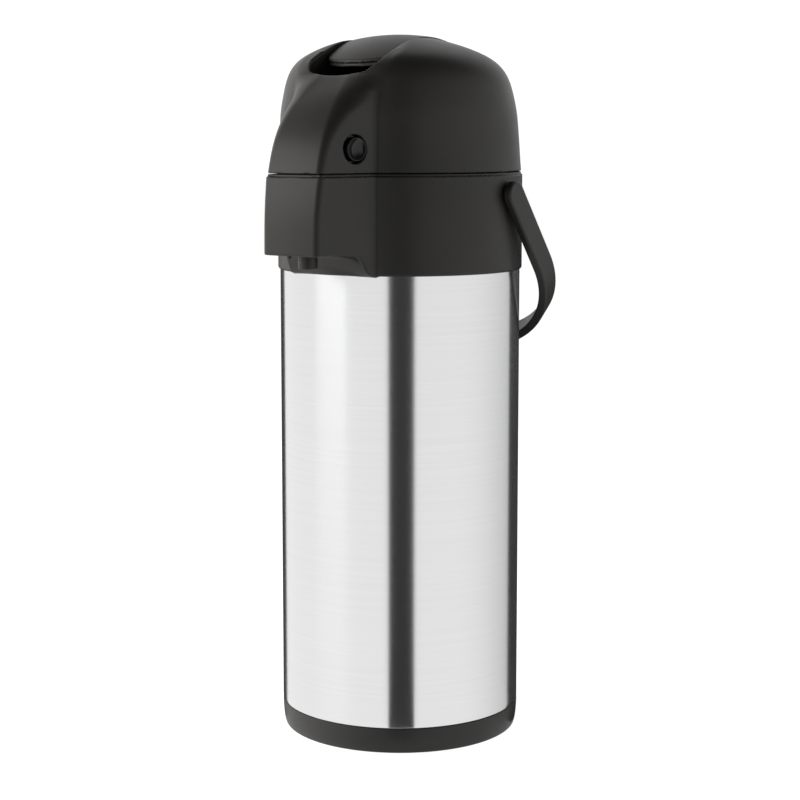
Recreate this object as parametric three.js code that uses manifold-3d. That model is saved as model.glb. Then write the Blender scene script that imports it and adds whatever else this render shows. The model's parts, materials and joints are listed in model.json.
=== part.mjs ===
// A thermal coffee airpot in millimetres. +Z is up, the spout points to -Y, and the origin is under the base.
import * as THREE from 'three';
import Module from 'manifold-3d';
import { LoftGeometry } from 'three/addons/geometries/LoftGeometry.js';
import { mergeVertices } from 'three/addons/utils/BufferGeometryUtils.js';

const wasm = await Module();
wasm.setup();

// Driving dimensions.
const GAP = 0.3;
const ROUND = 40;
const SMALL_ROUND = 12;
const STEEL = 0.8;
const MOULDED = 2.4;

const BODY_RADIUS = 68;
const BASE_TOP = 14.7;
const SHELL_TOP = 268;
const PAN_Z = 22;

const LINER_RADIUS = 61.5;
const LINER_BOTTOM = 27;
const NECK_RADIUS = 38;
const NECK_TOP = 291.8;
const RIM_RADIUS = 47;

const COLLAR_RADIUS = 69.2;
const COLLAR_BOTTOM = 264.1;
const COLLAR_TOP = 317.5;
const NOSE_BOTTOM = 275.5;
const NOSE_FRONT = 101.5;
const NOSE_HALF_WIDTH = 17.5;
const NOSE_FLARE = 0.265;
const NOSE_CORNER = 3.6;
const NOSE_LEAN = 2.9;
const NOSE_LEAN_START = 294;

const DECK_Z = 312.2;
const DECK_THICK = 2.5;
const SIPHON_BOTTOM = 294.4;
const SIPHON_TOP = 308.5;
const SPOUT_Z = 301.5;
const NOZZLE_Y = -85.6;
const NOZZLE_BOTTOM = 268.4;

const LID_BOTTOM = 319.3;
const LID_TOP = 395.3;
const CREASE_X = 27.4;
const LID_BASE_Z = 320;
const CUP_BOTTOM = 311.7;
const CUP_RADIUS = 41.5;
const HINGE = { y: 73.6, z: 318.3, radius: 4, pin: 1.6 };

const WELL_HALF_WIDTH = 23.1;
const WELL_FRONT = -60.6;
const WELL_REAR = 44;
const WELL_FLOOR = 347.5;
const PAD_HALF_WIDTH = 22.3;
const PAD_FRONT = -45.3;
const PAD_REAR = 43.2;
const PAD_THICK = 1.4;
const PAD_SEAM = 0.5;
const CARRIER_THICK = 2.6;
const PAD_PIVOT = { y: 40, z: 377 };
const NUB = { z: 372, radius: 3.4 };
const BELLOWS_BOTTOM = 314.5;
const PUMP_PLATE_Z = 364.2;
const PUMP_PLATE_TOP = 368.2;
const PUMP_RADIUS = 18.5;

const BUTTON = { x: 24, y: -75, z: 332, radius: 6.25, hole: 7.7, proud: 1.5, travel: 3 };
const BUTTON_AXIS = { x: 0.959, y: -0.283 };

const HANDLE_PIVOT = { y: 5.2, z: 307 };
const HANDLE_DROP = THREE.MathUtils.degToRad(51.7);
const HANDLE_HALF_WIDTH = 75;
const HANDLE_THICK = 5;
const HANDLE_STRAP = 14.6;
const HANDLE_STRAIGHT = 49;
const HANDLE_REACH = 116.3;

// Solids.

/** A closed solid from a geometry, with its shared vertices merged and its empty triangles left out. */
function solid(geometry) {
  const bare = new THREE.BufferGeometry();
  bare.setAttribute('position', geometry.attributes.position);
  bare.setIndex(geometry.index);
  const merged = mergeVertices(bare, 1e-4);
  const corners = [];
  for (let i = 0; i < merged.index.count; i += 3) {
    const [a, b, c] = [0, 1, 2].map((k) => merged.index.getX(i + k));
    if (a !== b && b !== c && c !== a) {
      corners.push(a, b, c);
    }
  }
  return new wasm.Manifold(new wasm.Mesh({
    numProp: 3,
    vertProperties: merged.attributes.position.array,
    triVerts: new Uint32Array(corners),
  }));
}

/** A body of revolution about Z from [radius, z] points, which close on themselves or on the axis. */
function turned(profile, segments = ROUND) {
  const points = profile.map(([radius, z]) => new THREE.Vector2(radius, z));
  if (THREE.ShapeUtils.area(points) < 0) {
    points.reverse();
  }
  if (points[0].x > 0 || points[points.length - 1].x > 0) {
    points.push(points[0].clone());
  }
  return solid(new THREE.LatheGeometry(points, segments).rotateX(Math.PI / 2));
}

/** A ring with a square section. */
function ring(inner, outer, bottom, top, segments = ROUND) {
  return turned([[inner, bottom], [outer, bottom], [outer, top], [inner, top]], segments);
}

/** An upright round post. */
function post(x, y, radius, bottom, top, segments = SMALL_ROUND) {
  const geometry = new THREE.CylinderGeometry(radius, radius, top - bottom, segments);
  return solid(geometry.rotateX(Math.PI / 2).translate(x, y, (bottom + top) / 2));
}

/** A round bar between two points. */
function bar(radius, from, to, segments = SMALL_ROUND) {
  const start = new THREE.Vector3(...from);
  const end = new THREE.Vector3(...to);
  const along = end.clone().sub(start);
  const geometry = new THREE.CylinderGeometry(radius, radius, along.length(), segments);
  const turn = new THREE.Quaternion().setFromUnitVectors(new THREE.Vector3(0, 1, 0), along.normalize());
  const middle = start.add(end).multiplyScalar(0.5);
  return solid(geometry.applyQuaternion(turn).translate(middle.x, middle.y, middle.z));
}

/** A box between two corners. */
function block([x0, y0, z0], [x1, y1, z1]) {
  const geometry = new THREE.BoxGeometry(x1 - x0, y1 - y0, z1 - z0);
  return solid(geometry.translate((x0 + x1) / 2, (y0 + y1) / 2, (z0 + z1) / 2));
}

/** An upright prism over an outline of Vector2 points. */
function prism(outline, bottom, top) {
  const shape = new THREE.Shape(outline);
  const geometry = new THREE.ExtrudeGeometry(shape, { depth: top - bottom, bevelEnabled: false });
  return solid(geometry.translate(0, 0, bottom));
}

/** A side view of [y, z] points, as wide as halfWidth on each side of the middle plane. */
function sideCut(points, halfWidth) {
  const shape = new THREE.Shape(points.map(([y, z]) => new THREE.Vector2(y, z)));
  const geometry = new THREE.ExtrudeGeometry(shape, { depth: 2 * halfWidth, bevelEnabled: false });
  geometry.rotateX(Math.PI / 2).rotateZ(Math.PI / 2);
  return solid(geometry.translate(-halfWidth, 0, 0));
}

/** An outline through [x, y, radius] corners, each rounded by a curve. */
function roundedOutline(corners, steps = 5) {
  const points = [];
  corners.forEach(([x, y, radius], i) => {
    const corner = new THREE.Vector2(x, y);
    const towards = (k) => {
      const [nx, ny] = corners[(i + k + corners.length) % corners.length];
      return new THREE.Vector2(nx, ny).sub(corner).setLength(radius).add(corner);
    };
    if (radius > 0) {
      points.push(...new THREE.QuadraticBezierCurve(towards(-1), corner, towards(1)).getPoints(steps));
    } else {
      points.push(corner);
    }
  });
  return points;
}

/** A coil spring of round wire along Z, from bottom to top. */
function coil(radius, wire, turns, bottom, top) {
  const points = [];
  const steps = turns * 8;
  for (let i = 0; i <= steps; i += 1) {
    const angle = (i / 8) * 2 * Math.PI;
    const z = bottom + wire + ((top - bottom - 2 * wire) * i) / steps;
    points.push(new THREE.Vector3(radius * Math.cos(angle), radius * Math.sin(angle), z));
  }
  const section = new THREE.Shape(new THREE.EllipseCurve(0, 0, wire, wire).getPoints(5).slice(0, -1));
  const path = new THREE.CatmullRomCurve3(points);
  return solid(new THREE.ExtrudeGeometry(section, { steps, extrudePath: path, bevelEnabled: false }));
}

/** Everything in the list joined into one. */
function joined(...parts) {
  return parts.reduce((whole, part) => whole.add(part));
}

/** The first solid with all the others cut out of it. */
function cut(whole, ...tools) {
  return tools.reduce((rest, tool) => rest.subtract(tool), whole);
}

const airpot = new THREE.Group();

/** Adds a named mesh with a material of its own to the object. */
function addNode(name, body, look) {
  const mesh = body.getMesh();
  const geometry = new THREE.BufferGeometry();
  geometry.setAttribute('position', new THREE.BufferAttribute(mesh.vertProperties, 3));
  geometry.setIndex(new THREE.BufferAttribute(mesh.triVerts, 1));
  geometry.computeVertexNormals();
  const node = new THREE.Mesh(geometry, new THREE.MeshStandardMaterial(look));
  node.name = name;
  airpot.add(node);
  return node;
}

const BLACK = { color: 0x1b1b1c, roughness: 0.5, metalness: 0 };
const GLOSS = { color: 0x101011, roughness: 0.2, metalness: 0 };
const BRUSHED = { color: 0xc9cacc, roughness: 0.32, metalness: 1 };
const SPRING_STEEL = { color: 0x9a9c9f, roughness: 0.35, metalness: 1 };
const RUBBER = { color: 0x232324, roughness: 0.85, metalness: 0 };
const SILICONE = { color: 0xb9bcba, roughness: 0.6, metalness: 0 };
const PALE = { color: 0xd8d8d4, roughness: 0.5, metalness: 0 };

const mirrored = (places) => places.flatMap(([x, y]) => [[x, y], [-x, y]]);
const sides = [['left', -1], ['right', 1]];

// Base.

const baseScrewPlaces = [90, 210, 330].map((degrees) => {
  const angle = THREE.MathUtils.degToRad(degrees);
  return [50 * Math.cos(angle), 50 * Math.sin(angle)];
});

function makeBase() {
  const padRadius = 57.8;
  const spigotTop = 20;
  const floor = 2.3;
  const bossTop = BASE_TOP - 0.2;
  addNode('base_pad', turned([[0, 0], [padRadius, 0], [padRadius, 2], [0, 2]]), RUBBER);

  const cover = turned([
    [0, floor], [padRadius + 0.7, floor], [padRadius + 0.7, 0.5], [65.7, 0.5], [66.4, 0.9], [66.9, 1.8],
    [67.5, 5], [67.9, 10.5], [BODY_RADIUS, BASE_TOP], [66.8, BASE_TOP], [66.8, spigotTop], [65, spigotTop],
    [65, 4.8], [0, 4.8],
  ]);
  const bosses = baseScrewPlaces.map(([x, y]) => post(x, y, 7, 4, bossTop));
  const bores = baseScrewPlaces.flatMap(([x, y]) => [post(x, y, 4.3, 0, 6), post(x, y, 2.4, 5, 30)]);
  addNode('base_cover', cut(joined(cover, ...bosses), ...bores), BLACK);

  const pan = turned([
    [0, PAN_Z], [66.9, PAN_Z], [66.9, PAN_Z + 8],
    [66.1, PAN_Z + 8], [66.1, PAN_Z + STEEL], [0, PAN_Z + STEEL],
  ]);
  const nuts = baseScrewPlaces.map(([x, y]) => post(x, y, 4.5, bossTop + GAP, PAN_Z + 0.4));
  const threads = baseScrewPlaces.map(([x, y]) => post(x, y, 2.4, 10, PAN_Z + 2));
  addNode('bottom_pan', cut(joined(pan, ...nuts), ...threads), BRUSHED);

  baseScrewPlaces.forEach(([x, y], i) => {
    const screw = joined(post(x, y, 3.8, 3.3, 5.7), post(x, y, 2, 5.6, PAN_Z - 1, 12));
    addNode(`base_screw_${i + 1}`, screw, SPRING_STEEL);
  });
}

// Vacuum vessel.

function makeVessel() {
  addNode('outer_shell', ring(BODY_RADIUS - STEEL, BODY_RADIUS, BASE_TOP + GAP, SHELL_TOP), BRUSHED);

  const inner = LINER_RADIUS - STEEL;
  addNode('liner', turned([
    [0, LINER_BOTTOM], [54, LINER_BOTTOM], [LINER_RADIUS, 36], [LINER_RADIUS, 256], [56, 268],
    [NECK_RADIUS + STEEL, 281], [NECK_RADIUS + STEEL, 291], [RIM_RADIUS, 291],
    [RIM_RADIUS, NECK_TOP], [NECK_RADIUS, NECK_TOP], [NECK_RADIUS, 280.4], [55.4, 267.3],
    [inner, 255.8], [inner, 36.2], [53.5, LINER_BOTTOM + STEEL], [0, LINER_BOTTOM + STEEL],
  ]), BRUSHED);

  addNode('outer_shoulder', turned([
    [66.1, 258], [66.9, 258], [66.9, 266.8], [55, 276.5], [40.2, 287.2],
    [40.2, 290.7], [39.2, 290.7], [39.2, 286.8], [54.4, 275.7], [66.1, 266.4],
  ]), BRUSHED);

  addNode('neck_gasket', ring(43.5, 46.6, NECK_TOP + GAP, NECK_TOP + 2.5), SILICONE);
  addNode('siphon_gasket', ring(36.5, 42.8, NECK_TOP + GAP, SIPHON_BOTTOM - GAP), SILICONE);
}

// Collar.

/** The outline of the nose, set in by some millimetres from its outer face. */
function noseOutline(inset) {
  const front = NOSE_FRONT - inset;
  const side = (y) => NOSE_HALF_WIDTH + NOSE_FLARE * (y + NOSE_FRONT) - inset * Math.hypot(1, NOSE_FLARE);
  const rear = 45;
  return roundedOutline([
    [side(-front), -front, Math.max(NOSE_CORNER - inset, 1)],
    [side(-rear), -rear, 0],
    [-side(-rear), -rear, 0],
    [-side(-front), -front, Math.max(NOSE_CORNER - inset, 1)],
  ]);
}

const deckScrewPlaces = mirrored([[51.5, 29.8], [51.5, -29.8]]);

function makeCollar() {
  const wallInside = COLLAR_RADIUS - 3.2;
  const notch = new THREE.CubicBezierCurve(
    new THREE.Vector2(-77, NOSE_BOTTOM), new THREE.Vector2(-70, NOSE_BOTTOM),
    new THREE.Vector2(-69, COLLAR_BOTTOM + 1), new THREE.Vector2(-65.5, COLLAR_BOTTOM),
  ).getPoints(8).map((point) => [point.x, point.y]);
  const frontLine = [[NOSE_LEAN - NOSE_FRONT, COLLAR_TOP], [-NOSE_FRONT, NOSE_LEAN_START]];
  const noseSide = sideCut([
    [-NOSE_FRONT, NOSE_BOTTOM], ...notch, [-40, COLLAR_BOTTOM], [-40, COLLAR_TOP], ...frontLine,
  ], 40);
  const frontWall = sideCut([
    [-120, 250], [MOULDED - NOSE_FRONT, 250], [MOULDED - NOSE_FRONT, NOSE_LEAN_START],
    [MOULDED + NOSE_LEAN - NOSE_FRONT, COLLAR_TOP], [MOULDED + NOSE_LEAN - NOSE_FRONT, 330], [-120, 330],
  ], 40);
  const nose = prism(noseOutline(0), COLLAR_BOTTOM, COLLAR_TOP).intersect(noseSide);
  const drum = turned([
    [0, COLLAR_BOTTOM], [68.9, COLLAR_BOTTOM], [COLLAR_RADIUS, COLLAR_BOTTOM + 0.6],
    [COLLAR_RADIUS, COLLAR_TOP], [0, COLLAR_TOP],
  ]);
  const bore = turned([
    [0, COLLAR_BOTTOM - 1], [BODY_RADIUS + 0.35, COLLAR_BOTTOM - 1], [BODY_RADIUS + 0.35, SHELL_TOP + 1],
    [wallInside, SHELL_TOP + 1], [wallInside, COLLAR_TOP + 1], [0, COLLAR_TOP + 1],
  ]);
  const upperHollow = cut(prism(noseOutline(MOULDED), NOSE_BOTTOM - 0.1, COLLAR_TOP + 1), frontWall);
  const underHollow = cut(
    prism(noseOutline(MOULDED), COLLAR_BOTTOM - 1, NOSE_BOTTOM),
    post(0, 0, COLLAR_RADIUS, COLLAR_BOTTOM - 2, NOSE_BOTTOM + 1, ROUND),
  );
  const shell = cut(joined(drum, nose), bore, upperHollow, underHollow);

  const bosses = deckScrewPlaces.map(([x, y]) => {
    const out = 63 / Math.hypot(x, y);
    return joined(post(x, y, 4.2, 290, DECK_Z - GAP), post(x * out, y * out, 4.2, 290, DECK_Z - GAP));
  });
  const lugs = sides.map(([, side]) => {
    const [near, far] = [13.1 * side, 21 * side].sort((a, b) => a - b);
    return joined(
      bar(HINGE.radius, [near, HINGE.y, HINGE.z], [far, HINGE.y, HINGE.z]),
      block([near, 66.5, 311], [far, HINGE.y, HINGE.z]),
      block([near, HINGE.y - 1, 313.5], [far, HINGE.y + 3.4, HINGE.z]),
    );
  });
  const screwHoles = deckScrewPlaces.map(([x, y]) => post(x, y, 1.9, 296, COLLAR_TOP));
  const hingeHole = bar(HINGE.pin + 0.35, [-30, HINGE.y, HINGE.z], [30, HINGE.y, HINGE.z]);
  const pivotHole = bar(3.9, [-90, HANDLE_PIVOT.y, HANDLE_PIVOT.z], [90, HANDLE_PIVOT.y, HANDLE_PIVOT.z]);
  addNode('collar_shell', cut(joined(shell, ...bosses, ...lugs), ...screwHoles, hingeHole, pivotHole), BLACK);

  const underPlate = cut(
    prism(noseOutline(MOULDED + 0.4), NOSE_BOTTOM + 0.5, NOSE_BOTTOM + 2.7),
    post(0, 0, COLLAR_RADIUS + 0.4, NOSE_BOTTOM, NOSE_BOTTOM + 3, ROUND),
    post(0, NOZZLE_Y, 5.9, NOSE_BOTTOM, NOSE_BOTTOM + 4),
  );
  addNode('nose_under_plate', underPlate, BLACK);
}

/** A block in the frame of the push-button on one side: s along its axis, t across it, z up. */
function buttonBlock(side, [s0, t0, z0], [s1, t1, z1]) {
  const geometry = new THREE.BoxGeometry(s1 - s0, t1 - t0, z1 - z0);
  geometry.translate((s0 + s1) / 2, (t0 + t1) / 2, (z0 + z1) / 2);
  geometry.rotateZ(Math.atan2(BUTTON_AXIS.y, side * BUTTON_AXIS.x));
  return solid(geometry.translate(side * BUTTON.x, BUTTON.y, 0));
}

/** A round bar on the push-button's axis from s0 to s1, measured outwards from the cheek. */
function buttonBar(side, radius, s0, s1, segments = SMALL_ROUND) {
  const at = (s) => [side * (BUTTON.x + s * BUTTON_AXIS.x), BUTTON.y + s * BUTTON_AXIS.y, BUTTON.z];
  return bar(radius, at(s0), at(s1), segments);
}

function makeDeck() {
  const mouth = 43.2;
  const plate = joined(
    post(0, 0, COLLAR_RADIUS - 3.6, DECK_Z, DECK_Z + DECK_THICK, ROUND),
    prism(noseOutline(MOULDED + 0.4), DECK_Z, DECK_Z + DECK_THICK).intersect(
      block([-40, -NOSE_FRONT + 6, DECK_Z - 1], [40, -40, DECK_Z + 4]),
    ),
    post(0, 0, mouth + 2.2, SIPHON_BOTTOM + 0.2, DECK_Z + 1, ROUND),
    cut(
      prism(lidOutline(MOULDED + 0.5), DECK_Z + 1, LID_BOTTOM - GAP),
      prism(lidOutline(MOULDED + 2), DECK_Z, LID_TOP),
    ),
  );
  const latchSlots = sides.map(([, side]) => buttonBlock(side, [-12.2, -5, 300], [-3.6, 5, 330]));
  const deck = cut(
    plate,
    post(0, 0, mouth, SIPHON_BOTTOM - 5, DECK_Z + 5, ROUND),
    block([-6.7, -48, SIPHON_BOTTOM - 5], [6.7, -40, SPOUT_Z + 6.6]),
    ...deckScrewPlaces.map(([x, y]) => post(x, y, 1.9, DECK_Z - 1, DECK_Z + 5)),
    ...latchSlots,
  );
  addNode('collar_deck', deck, BLACK);
  deckScrewPlaces.forEach(([x, y], i) => {
    const top = DECK_Z + DECK_THICK + GAP;
    addNode(`deck_screw_${i + 1}`, joined(post(x, y, 3, top, top + 1.8), post(x, y, 1.5, 298, top + 0.5, 12)),
      SPRING_STEEL);
  });
}

// Siphon and spout.

function makeSiphon() {
  const spigotEnd = -50;
  const bore = 3.6;
  const head = joined(
    ring(34, 42.6, SIPHON_BOTTOM, SIPHON_TOP),
    post(0, 0, 8, 286, SIPHON_TOP - 0.2, 32),
    bar(6, [0, 0, SPOUT_Z], [0, -43, SPOUT_Z], 24),
    bar(5.2, [0, -40, SPOUT_Z], [0, spigotEnd, SPOUT_Z], 24),
    ...[30, 150].map((degrees) => {
      const angle = THREE.MathUtils.degToRad(degrees);
      const spoke = new THREE.BoxGeometry(36, 4, 6).translate(20, 0, 298).rotateZ(angle);
      return solid(spoke);
    }),
  );
  const siphon = cut(
    head,
    post(0, 0, 5.3, 280, 299.8, 24),
    post(0, 0, bore, 299, SPOUT_Z, 24),
    bar(bore, [0, 0.5, SPOUT_Z], [0, spigotEnd - 1, SPOUT_Z], 24),
  );
  addNode('siphon_head', siphon, PALE);
  addNode('dip_tube', ring(4, 5, 31, 299.4, 24), BRUSHED);

  const bend = 9.6;
  const path = new THREE.CurvePath();
  const start = new THREE.Vector3(0, spigotEnd - GAP, SPOUT_Z);
  const bendStart = new THREE.Vector3(0, NOZZLE_Y + bend, SPOUT_Z);
  const corner = new THREE.Vector3(0, NOZZLE_Y, SPOUT_Z);
  const bendEnd = new THREE.Vector3(0, NOZZLE_Y, SPOUT_Z - bend);
  path.add(new THREE.LineCurve3(start, bendStart));
  path.add(new THREE.QuadraticBezierCurve3(bendStart, corner, bendEnd));
  path.add(new THREE.LineCurve3(bendEnd, new THREE.Vector3(0, NOZZLE_Y, NOZZLE_BOTTOM)));
  const section = new THREE.Shape(new THREE.EllipseCurve(0, 0, 5.25, 5.25).getPoints(14).slice(0, -1));
  section.holes.push(new THREE.Path(new THREE.EllipseCurve(0, 0, 3.7, 3.7).getPoints(14).slice(0, -1)));
  const pipe = new THREE.ExtrudeGeometry(section, { steps: 14, extrudePath: path, bevelEnabled: false });
  addNode('spout_pipe', solid(pipe), BLACK);

  const grommet = cut(
    bar(6.9, [0, -46, SPOUT_Z], [0, -55, SPOUT_Z], 24),
    bar(5.6, [0, -45, SPOUT_Z], [0, -56, SPOUT_Z], 24),
  );
  addNode('spout_grommet', grommet, SILICONE);
}

// Lid.

// Each level: its height, the dome's radius and how far its middle lies forward,
// and the nose's half width and front.
const LID_LEVELS = [
  { z: LID_BOTTOM, radius: 68.4, shift: 0, width: 17.5, front: 98.3 },
  { z: 338.5, radius: 67.3, shift: 0.5, width: 18, front: 92.9 },
  { z: 346, radius: 66.9, shift: 0.8, width: 18.4, front: 88 },
  { z: 352.5, radius: 66.4, shift: 1.2, width: 19, front: 83 },
  { z: 358.5, radius: 65.4, shift: 1.5, width: 20, front: 77.3 },
  { z: 364, radius: 64.1, shift: 1.5, width: 20.8, front: 70.8 },
  { z: 369, radius: 62.7, shift: 1.8, width: 22, front: 64.4 },
  { z: 374, radius: 60.4, shift: 2.4, width: 24, front: 57.5 },
  { z: 378.5, radius: 57.2, shift: 3.2, width: 0, front: 0 },
  { z: 383, radius: 50.8, shift: 4, width: 0, front: 0 },
  { z: 387.5, radius: 41, shift: 4.3, width: 0, front: 0 },
  { z: 391.5, radius: 27.8, shift: 4.4, width: 0, front: 0 },
  { z: 394, radius: 15.5, shift: 4.4, width: 0, front: 0 },
  { z: LID_TOP, radius: 4, shift: 4.4, width: 0, front: 0 },
];

/** A point of the lid's outline at an angle from the front, seen from above. */
function lidPoint(level, angle, inset) {
  const [sine, cosine] = [Math.abs(Math.sin(angle)), Math.cos(angle)];
  const radius = Math.max(level.radius - inset, 1);
  if (level.width === 0) {
    return [radius * Math.sin(angle), -radius * cosine - level.shift];
  }
  const [width, front] = [level.width - inset, level.front - inset];
  const crease = { x: CREASE_X - inset, y: Math.sqrt(radius ** 2 - (CREASE_X - inset) ** 2) + level.shift };
  let reach = level.shift * cosine + Math.sqrt(radius ** 2 - (level.shift * sine) ** 2);
  if (cosine > 0 && sine / cosine <= width / front) {
    reach = front / cosine;
  } else if (cosine > 0 && sine / cosine < crease.x / crease.y) {
    const slant = sine * (crease.y - front) - cosine * (crease.x - width);
    reach = Math.max(reach, (width * crease.y - front * crease.x) / slant);
  }
  return [reach * Math.sin(angle), -reach * cosine];
}

// The angles of the points round the lid's outline, closer together at the nose.
const LID_ANGLES = Array.from({ length: 36 }, (_, i) => {
  const share = (i - 17) / 18;
  return Math.PI * (0.55 * share + 0.45 * share ** 3);
});

/** The outline of the lid's lower edge, set in by some millimetres. */
function lidOutline(inset) {
  return LID_ANGLES.map((angle) => new THREE.Vector2(...lidPoint(LID_LEVELS[0], angle, inset)));
}

/** The lid's solid outer form, or the same form set in for its hollow. */
function lidForm(inset) {
  const height = (z) => LID_BOTTOM + (z - LID_BOTTOM) * (1 - inset / (LID_TOP - LID_BOTTOM));
  const sections = LID_LEVELS.map((level, i) => LID_ANGLES.map((angle) => {
    const z = i === 0 && inset > 0 ? LID_BOTTOM - 1 : height(level.z);
    return new THREE.Vector3(...lidPoint(level, angle, inset), z);
  }));
  return solid(new LoftGeometry(sections, { capStart: true, capEnd: true }));
}

/** The strip over the crown that the pad lies in, seen from above. */
function stripOutline(halfWidth, front, rear, frontRadius, rearRadius) {
  return roundedOutline([
    [halfWidth, front, frontRadius],
    [halfWidth, rear, rearRadius],
    [-halfWidth, rear, rearRadius],
    [-halfWidth, front, frontRadius],
  ], 8);
}

const lidScrewPlaces = mirrored([[42.4, 42.4], [45.6, -39]]);

function makeLid() {
  const outer = lidForm(0);
  const wellDepth = 60;
  const wellWall = stripOutline(WELL_HALF_WIDTH + 2, WELL_FRONT - 2, WELL_REAR + 2, 17, 9);
  const wellSpace = stripOutline(WELL_HALF_WIDTH, WELL_FRONT, WELL_REAR, 15, 8);
  const bosses = lidScrewPlaces.map(([x, y]) => {
    const out = 63.5 / Math.hypot(x, y);
    return joined(post(x, y, 4.2, 323.2, 340), post(x * out, y * out, 4.2, 323.2, 340)).intersect(outer);
  });
  const knuckle = joined(
    bar(HINGE.radius, [-12.7, HINGE.y, HINGE.z], [12.7, HINGE.y, HINGE.z]),
    block([-12.7, 66.8, 318.8], [12.7, HINGE.y, HINGE.z + HINGE.radius]),
  );
  const cover = cut(
    joined(
      cut(outer, lidForm(MOULDED)),
      prism(wellWall, WELL_FLOOR, WELL_FLOOR + wellDepth).intersect(outer),
      ...bosses,
      knuckle,
    ),
    prism(wellSpace, WELL_FLOOR + 2, WELL_FLOOR + wellDepth),
    post(0, 0, PUMP_RADIUS + 2.9, WELL_FLOOR - 1, WELL_FLOOR + 3, 32),
    ...lidScrewPlaces.map(([x, y]) => post(x, y, 1.9, 322, 334)),
    ...sides.map(([, side]) => buttonBar(side, BUTTON.hole, -8, 12, 32)),
    bar(HINGE.pin + 0.35, [-30, HINGE.y, HINGE.z], [30, HINGE.y, HINGE.z]),
    bar(1.95, [-30, PAD_PIVOT.y, PAD_PIVOT.z], [30, PAD_PIVOT.y, PAD_PIVOT.z]),
  );
  addNode('lid_cover', cover, BLACK);
  addNode('lid_hinge_pin', bar(HINGE.pin, [-20.8, HINGE.y, HINGE.z], [20.8, HINGE.y, HINGE.z], 16), BRUSHED);
  addNode('pad_pivot_pin', bar(1.6, [-24.8, PAD_PIVOT.y, PAD_PIVOT.z], [24.8, PAD_PIVOT.y, PAD_PIVOT.z], 16),
    BRUSHED);
}

function makeLidBase() {
  const plateTop = LID_BASE_Z + 2.5;
  const plate = lidForm(MOULDED + 0.5).intersect(block([-90, -110, LID_BASE_Z], [90, 90, plateTop]));
  const pillar = block([-7, -80, LID_BASE_Z + 1], [7, -62, 341]);
  const cup = post(0, 0, CUP_RADIUS, CUP_BOTTOM, LID_BASE_Z + 1, ROUND);
  const airHoles = [0, 90, 180, 270].map((degrees) => {
    const angle = THREE.MathUtils.degToRad(degrees + 45);
    return post(5.5 * Math.cos(angle), 5.5 * Math.sin(angle), 1.6, CUP_BOTTOM - 1, CUP_BOTTOM + 4, 12);
  });
  const base = cut(
    joined(plate, pillar, cup),
    post(0, 0, CUP_RADIUS - 2, CUP_BOTTOM + 2.3, plateTop + 1, ROUND),
    post(0, 0, 2.3, CUP_BOTTOM - 1, CUP_BOTTOM + 4, 16),
    ...airHoles,
    ...lidScrewPlaces.map(([x, y]) => post(x, y, 1.9, LID_BASE_Z - 1, plateTop + 1)),
    ...sides.map(([, side]) => buttonBlock(side, [-11.6, -4, 318], [-3.6, 4, 326])),
  );
  addNode('lid_base', base, BLACK);
  addNode('lid_seal', ring(35, 41.2, SIPHON_TOP + GAP, CUP_BOTTOM - GAP), SILICONE);
  addNode('check_valve', turned([
    [0, 310.4], [9, 310.4], [9, CUP_BOTTOM - GAP], [2, CUP_BOTTOM - GAP], [2, CUP_BOTTOM + 2.6], [3.2, 314.8],
    [0, 316.6],
  ], 24), SILICONE);
  lidScrewPlaces.forEach(([x, y], i) => {
    const head = LID_BASE_Z - GAP;
    const screw = joined(post(x, y, 2.9, head - 1.6, head), post(x, y, 1.5, head - 0.5, 332, 12));
    addNode(`lid_screw_${i + 1}`, screw, SPRING_STEEL);
  });
}

// Pump.

/** The height of the pad's upper face, which dips towards the finger recess. */
function padHeight(x, y) {
  const crown = 395.6;
  const curve = 0.0054;
  const dip = THREE.MathUtils.smoothstep(-y, 6, 34);
  return crown - curve * ((y - 2) ** 2 + x ** 2 * (1 - dip)) - 3.6 * dip;
}

/** A slab under the pad's upper face, between two depths below it. */
function padSlab(upper, lower, outline) {
  const across = [-24, -16, -8, 0, 8, 16, 24];
  const sections = [];
  for (let y = 48; y >= -50; y -= 7) {
    sections.push([
      ...across.map((x) => new THREE.Vector3(x, y, padHeight(x, y) - lower)),
      ...across.toReversed().map((x) => new THREE.Vector3(x, y, padHeight(x, y) - upper)),
    ]);
  }
  const slab = solid(new LoftGeometry(sections, { capStart: true, capEnd: true }));
  return slab.intersect(prism(outline, 360, 400));
}

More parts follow.
